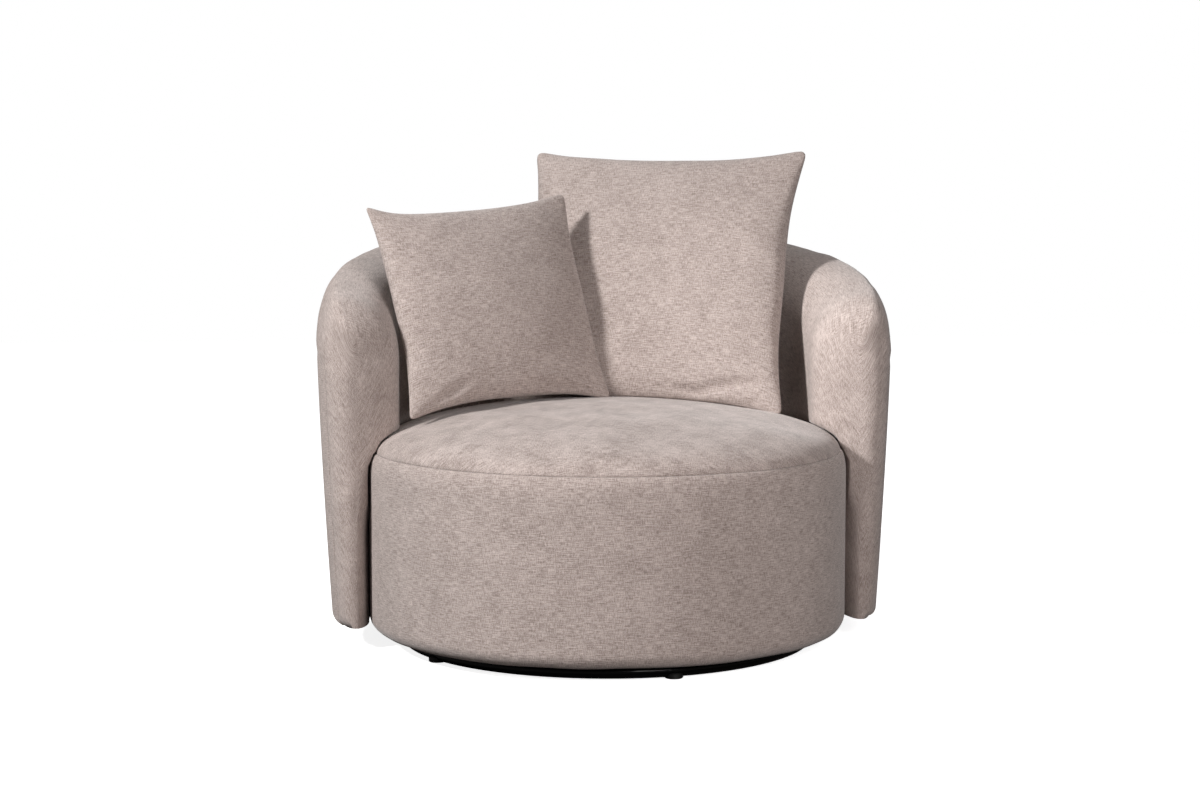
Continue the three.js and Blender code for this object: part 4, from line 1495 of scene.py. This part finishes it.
@dataclass
class Cushion(SubAssembly):
    """A loose knife-edged cushion, blown up by cloth simulation and set in its place."""

    plan: Plan
    title: str
    node: str
    size: float
    thickness: float
    place: Spot
    yaw: float
    lean: float
    roll: float
    creases: tuple[Crease, ...]
    body: Body = Body.LARGE_CUSHION
    panels: int = 64
    bunching: float = 0.35
    # How far the left, right, bottom and top edges are drawn in between the ears.
    draws: tuple[float, float, float, float] = (0.08, 0.07, 0.08, 0.078)
    draw_lean: float = 0.0
    reach: float = 1.03
    edge_power: float = 3.6
    ear_round: float = 0.045
    ear_power: float = 24.0
    draw_in: float = 0.052
    edge_share: float = 0.55
    start_share: float = 0.92
    cap: float = 0.016
    ear_share: float = 0.93
    front_room: float = 0.004
    pressure: float = 4.0
    frames: int = 20
    cloth_settings: tuple[tuple[str, float], ...] = (
        ("quality", 5), ("mass", 0.3), ("tension_stiffness", 12), ("compression_stiffness", 8),
        ("shear_stiffness", 4), ("bending_stiffness", 0.4), ("use_pressure", True))
    dent_depth: float = 0.006
    dent_scale: float = 7.0
    dent_seed: float = 10.0
    dent_edge: float = 0.85
    gap: float = 0.0008
    fill: float = 0.7
    smooth_angle: float = math.radians(80)

    def build(self) -> None:
        """Builds the cushion."""
        piece = self.blank()
        self.inflate(piece)
        Bench.modify(piece, "SUBSURF", levels=1, render_levels=1)
        self.gather(piece)
        self.hold(piece)
        self.set_down(piece)
        Bench.smooth(piece, self.smooth_angle)
        self.finish(piece, Finishes.upholstery, Slot.UPHOLSTERY, self.node)

    def swell(self, u: np.ndarray, v: np.ndarray) -> np.ndarray:
        """Half thickness of the cushion at shares of its half size."""
        dome = np.clip((1 - u * u) * (1 - v * v), 0, 1)
        return self.thickness / 2 * dome ** self.edge_share

    def outline(self, u: np.ndarray, v: np.ndarray) -> tuple[np.ndarray, np.ndarray]:
        """Draws the edges of a square in between its ears and rounds the ears.

        Args:
            u: Place across the square, from -1 to 1.
            v: Place up the square, from -1 to 1.

        Returns:
            Both places on the sewn cushion, as shares of its half size.
        """
        left, right, bottom, top = self.draws
        ear = 1 - self.ear_round * np.abs(u * v) ** self.ear_power
        shape = []
        for at, other, low, high, lean in ((u, v, left, right, 0.0),
                                           (v, u, bottom, top, self.draw_lean)):
            draw = np.where(at < 0, low, high * (1 - lean * other))
            beside = np.abs(other)
            stretch = 1 - draw * (1 - beside ** self.edge_power)
            shape.append(at * self.reach * stretch * ear)
        return shape[0], shape[1]

    def blank(self) -> Piece:
        """Two panels sewn round their edge, in the cushion's own frame.

        Returns:
            The piece; its width runs along X, its thickness along Y and its height along Z.
        """
        Bench.clear()
        bpy.ops.mesh.primitive_grid_add(x_subdivisions=self.panels, y_subdivisions=self.panels,
                                        size=2)
        piece = Bench.name(self.title)
        count = len(piece.data.vertices)
        with Bench.editing(piece):
            bpy.ops.mesh.select_all(action="SELECT")
            bpy.ops.mesh.duplicate()
            bpy.ops.mesh.flip_normals()
        flat = Bench.points(piece)
        u, v = (np.sin(flat[:, k] * math.pi / 2) * self.bunching + flat[:, k] * (1 - self.bunching)
                for k in (0, 1))
        side = np.where(np.arange(len(flat)) < count, -1.0, 1.0)
        half = self.size / 2
        across, up = self.outline(u, v)
        x, z = half * across, half * up
        y = side * self.swell(u, v) * self.start_share
        Bench.lay_cloth(piece, u * half + (side > 0) * self.size, v * half)
        Bench.put(piece, np.stack([x, y, z], axis=1))
        Bench.mend(piece)
        return piece

    def inflate(self, piece: Piece) -> None:
        """Blows the cushion up by cloth simulation, with a cap on how far a point moves.

        Args:
            piece: The sewn panels.
        """
        before = Bench.points(piece)
        Bench.pick(piece)
        ear = np.minimum(np.abs(before[:, 0]), np.abs(before[:, 2])) / (self.size / 2)
        group = piece.vertex_groups.new(name=PIN)
        for k in np.flatnonzero(ear > self.ear_share):
            group.add([int(k)], 1.0, "REPLACE")
        cloth = piece.modifiers.new("Cloth", "CLOTH")
        settings = cloth.settings
        settings.vertex_group_mass = group.name
        for key, value in self.cloth_settings:
            setattr(settings, key, value)
        settings.uniform_pressure_force = self.pressure
        settings.effector_weights.gravity = 0
        cloth.collision_settings.use_collision = False
        cloth.point_cache.frame_start = 1
        cloth.point_cache.frame_end = self.frames
        for step in range(1, self.frames + 1):
            bpy.context.scene.frame_set(step)
        bpy.ops.object.modifier_apply(modifier=cloth.name)
        bpy.context.scene.frame_set(1)
        moved = Bench.points(piece) - before
        far = np.linalg.norm(moved, axis=1)
        scale = np.where(far > self.cap, self.cap / np.maximum(far, MERGE), 1.0)
        Bench.put(piece, before + moved * scale[:, None])
        LOG.info("%s: cloth moved %.1f mm at most", self.title, MILLIMETRES * far.max())

    def gather(self, piece: Piece) -> None:
        """Presses the gathers and slow dents into the faces.

        Args:
            piece: The cushion in its own frame.
        """
        places = Bench.points(piece)
        side = np.sign(places[:, 1])
        for crease in self.creases:
            dx, dz = places[:, 0] - crease.x, places[:, 2] - crease.z
            cos, sin = math.cos(crease.turn), math.sin(crease.turn)
            along = (dx * cos + dz * sin) / crease.length
            across = (dz * cos - dx * sin) / crease.width
            groove = np.exp(-along ** 2) * (1 - across ** 2) * np.exp(-across ** 2 / 2)
            places[:, 1] -= side * (side == crease.side) * groove * crease.depth
        Bench.put(piece, places)
        edge = np.abs(places[:, [0, 2]]).max(axis=1) / (self.size / 2)
        Bench.soften(piece, Swell(self.dent_depth, self.dent_scale, self.size * self.dent_seed),
                     1 - smoothstep(self.dent_edge, 1.0, edge))

    def hold(self, piece: Piece) -> None:
        """Keeps the cushion in its room, so that it stays clear of what it leans on.

        Args:
            piece: The cushion in its own frame.
        """
        places = Bench.points(piece)
        half = self.size / 2
        u, v = places[:, 0] / half, places[:, 2] / half
        for _ in range(4):
            u, v = (places[:, 0] / half / (1 - self.draw_in * (1 - np.minimum(v * v, 1))),
                    places[:, 2] / half / (1 - self.draw_in * (1 - np.minimum(u * u, 1))))
        side = np.sign(places[:, 1])
        room = self.swell(u, v) + np.where(side < 0, self.front_room, 0.0)
        places[:, 1] = side * np.minimum(np.abs(places[:, 1]), room)
        Bench.put(piece, places)

    def set_down(self, piece: Piece) -> None:
        """Turns the cushion into its place and presses it to the seat.

        Args:
            piece: The cushion in its own frame.
        """
        turn = (Matrix.Rotation(self.yaw, 4, "Z") @ Matrix.Rotation(self.lean, 4, "X")
                @ Matrix.Rotation(self.roll, 4, "Y"))
        piece.data.transform(Matrix.Translation(self.place) @ turn)
        places = Bench.points(piece)
        distance = np.hypot(places[:, 0], places[:, 1] - self.plan.swivel_y)
        floor = self.plan.seat_height(distance) + self.gap
        places[:, 2] = np.maximum(places[:, 2], floor)
        Bench.put(piece, places)


@dataclass
class LargeCushion(Cushion):
    """Large back cushion, which leans on the back right of the middle."""

    title: str = "large_cushion_cover"
    node: str = "large_cushion"
    size: float = 0.566
    thickness: float = 0.156
    place: Spot = (0.119, 0.14475, 0.683)
    yaw: float = math.radians(-21.8)
    lean: float = math.radians(-25.6)
    roll: float = math.radians(-0.2)
    creases: tuple[Crease, ...] = (Crease(0.17, -0.235, 0.15, 0.07, 0.012, 0.006),
                                   Crease(0.10, -0.245, -0.1, 0.05, 0.010, 0.005),
                                   Crease(-0.12, -0.235, 0.3, 0.05, 0.012, 0.005))


@dataclass
class SmallCushion(Cushion):
    """Small scatter cushion, which leans on the large one from the left."""

    title: str = "small_cushion_cover"
    node: str = "small_cushion"
    size: float = 0.426
    thickness: float = 0.124
    place: Spot = (-0.2208, 0.01335, 0.643)
    yaw: float = math.radians(22)
    lean: float = math.radians(-21.8)
    roll: float = math.radians(-2.9)
    creases: tuple[Crease, ...] = (Crease(0.10, -0.185, -0.2, 0.05, 0.010, 0.004),
                                   Crease(-0.13, -0.175, 0.4, 0.04, 0.010, 0.004))
    body: Body = Body.SMALL_CUSHION
    draws: tuple[float, float, float, float] = (0.095, 0.06, 0.115, 0.12)
    draw_lean: float = 0.4
    reach: float = 1.04
    ear_round: float = 0.05
    front_room: float = 0.008


class HiddenParts(SubAssembly):
    """The frame's own nodes that keep their shape and get a finish."""

    def build(self) -> None:
        """Dresses every node that is still shown."""
        slots = {s["node"]: s["material_slot"] for s in frame["record"]["subparts"]}
        for name, node in frame["nodes"].items():
            look = Finishes.by_slot.get(Slot(slots[name]))
            if look and not node.hide_render:
                look.put_on(node)


@dataclass(frozen=True)
class Lamp:
    """A lamp of the studio: a square one, or a soft-edged spot where it has a cone."""

    title: str
    place: Spot
    size: float
    watts: float
    colour: Spot = (1.0, 1.0, 1.0)
    aim: Spot = (0.0, 0.0, 0.45)
    cone: float = 0.0

    def build(self) -> None:
        """Adds the lamp and turns it to its aim."""
        Bench.clear()
        bpy.ops.object.light_add(type="SPOT" if self.cone else "AREA", location=self.place)
        lamp = bpy.context.object
        lamp.name = self.title
        if self.cone:
            lamp.data.spot_size = self.cone
            lamp.data.spot_blend = 1.0
            lamp.data.shadow_soft_size = self.size
        else:
            lamp.data.size = self.size
        lamp.data.energy = self.watts
        lamp.data.color = self.colour
        aim = Vector(self.aim) - Vector(self.place)
        lamp.rotation_euler = aim.to_track_quat("-Z", "Y").to_euler()


@dataclass
class Studio:
    """Pale floor, key lamp from the upper front left, fill, rim and a spot on the right arm."""

    camera_place: Spot = (-0.47111, -4.52990, 0.89765)
    camera_turn: float = math.radians(5.8589)
    camera_tilt: float = math.radians(5.4315)
    lens: float = 70.406
    sensor: float = 36.0
    floor_size: float = 16.0
    floor_colour: str = "f4f3f2"
    floor_dim: str = "615f5e"
    floor_glow: float = 0.86
    glow_near: float = 1.0
    glow_far: float = 2.2
    sky: float = 0.08
    lamps: tuple[Lamp, ...] = (
        Lamp("key", (-3.107, -1.449, 2.51), 0.5, 156.0),
        Lamp("fill", (0.90, -2.95, 1.278), 1.0, 52.0, colour=(1.0, 0.955, 0.945)),
        Lamp("rim", (0.0, 1.5, 3.048), 0.7, 12.0),
        Lamp("arm_spot", (-3.04, -1.418, 2.63), 0.15, 440.0, aim=(0.55, -0.12, 0.57),
             cone=math.radians(11)))

    def build(self) -> None:
        """Builds the floor, the world, the lamps and the camera."""
        self.floor()
        self.world()
        for lamp in self.lamps:
            lamp.build()
        self.camera()
        bpy.context.scene.view_settings.view_transform = "Standard"

    def floor(self) -> None:
        """Plain pale floor that shows white and keeps the shadow."""
        Bench.clear()
        bpy.ops.mesh.primitive_plane_add(size=self.floor_size)
        piece = Bench.name("floor")
        made = bpy.data.materials.new("pale_floor")
        tree = Tree.of(made)
        seen = tree.seen()
        colour = tree.mix(seen, linear(self.floor_dim), linear(self.floor_colour))
        diffuse = tree.add("BsdfDiffuse", {"Color": colour})
        away = tree.add("VectorMath", {0: tree.add("TexCoord").outputs["Object"]},
                        operation="LENGTH").outputs["Value"]
        power = tree.span(away, self.glow_near, self.glow_far, self.floor_glow, 1.0)
        glow = tree.add("Emission", {"Color": (1, 1, 1, 1), "Strength": power})
        both = tree.add("AddShader", {0: diffuse.outputs[0], 1: glow.outputs[0]})
        mixed = tree.add("MixShader", {0: seen, 1: diffuse.outputs[0], 2: both.outputs[0]})
        tree.add("OutputMaterial", {0: mixed.outputs[0]})
        piece.data.materials.append(made)

    def world(self) -> None:
        """White backdrop for the camera, softer light for the rest."""
        world = bpy.data.worlds.new("studio")
        bpy.context.scene.world = world
        tree = Tree.of(world)
        strength = tree.add("MapRange", {"Value": tree.seen(), "To Min": self.sky,
                                         "To Max": 1.0}).outputs[0]
        back = tree.add("Background", {"Color": (1, 1, 1, 1), "Strength": strength})
        tree.add("OutputWorld", {0: back.outputs[0]})

    def camera(self) -> None:
        """Camera at the photograph's viewing angle."""
        Bench.clear()
        bpy.ops.object.camera_add(location=self.camera_place)
        camera = bpy.context.object
        camera.name = "camera"
        camera.rotation_euler = Euler((math.pi / 2 - self.camera_tilt, 0, -self.camera_turn))
        camera.data.sensor_width = self.sensor
        camera.data.lens = self.lens
        bpy.context.scene.camera = camera


def main() -> None:
    """Builds the chair and its studio."""
    logging.basicConfig(level=logging.INFO, format="%(name)s %(message)s")
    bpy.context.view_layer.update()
    plan = Plan()
    RingBase(plan).build()
    DrumSeat(plan).build()
    Shell(plan).build()
    LargeCushion(plan).build()
    SmallCushion(plan).build()
    HiddenParts().build()
    Studio().build()
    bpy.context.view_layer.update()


if __name__ == "__main__":
    main()
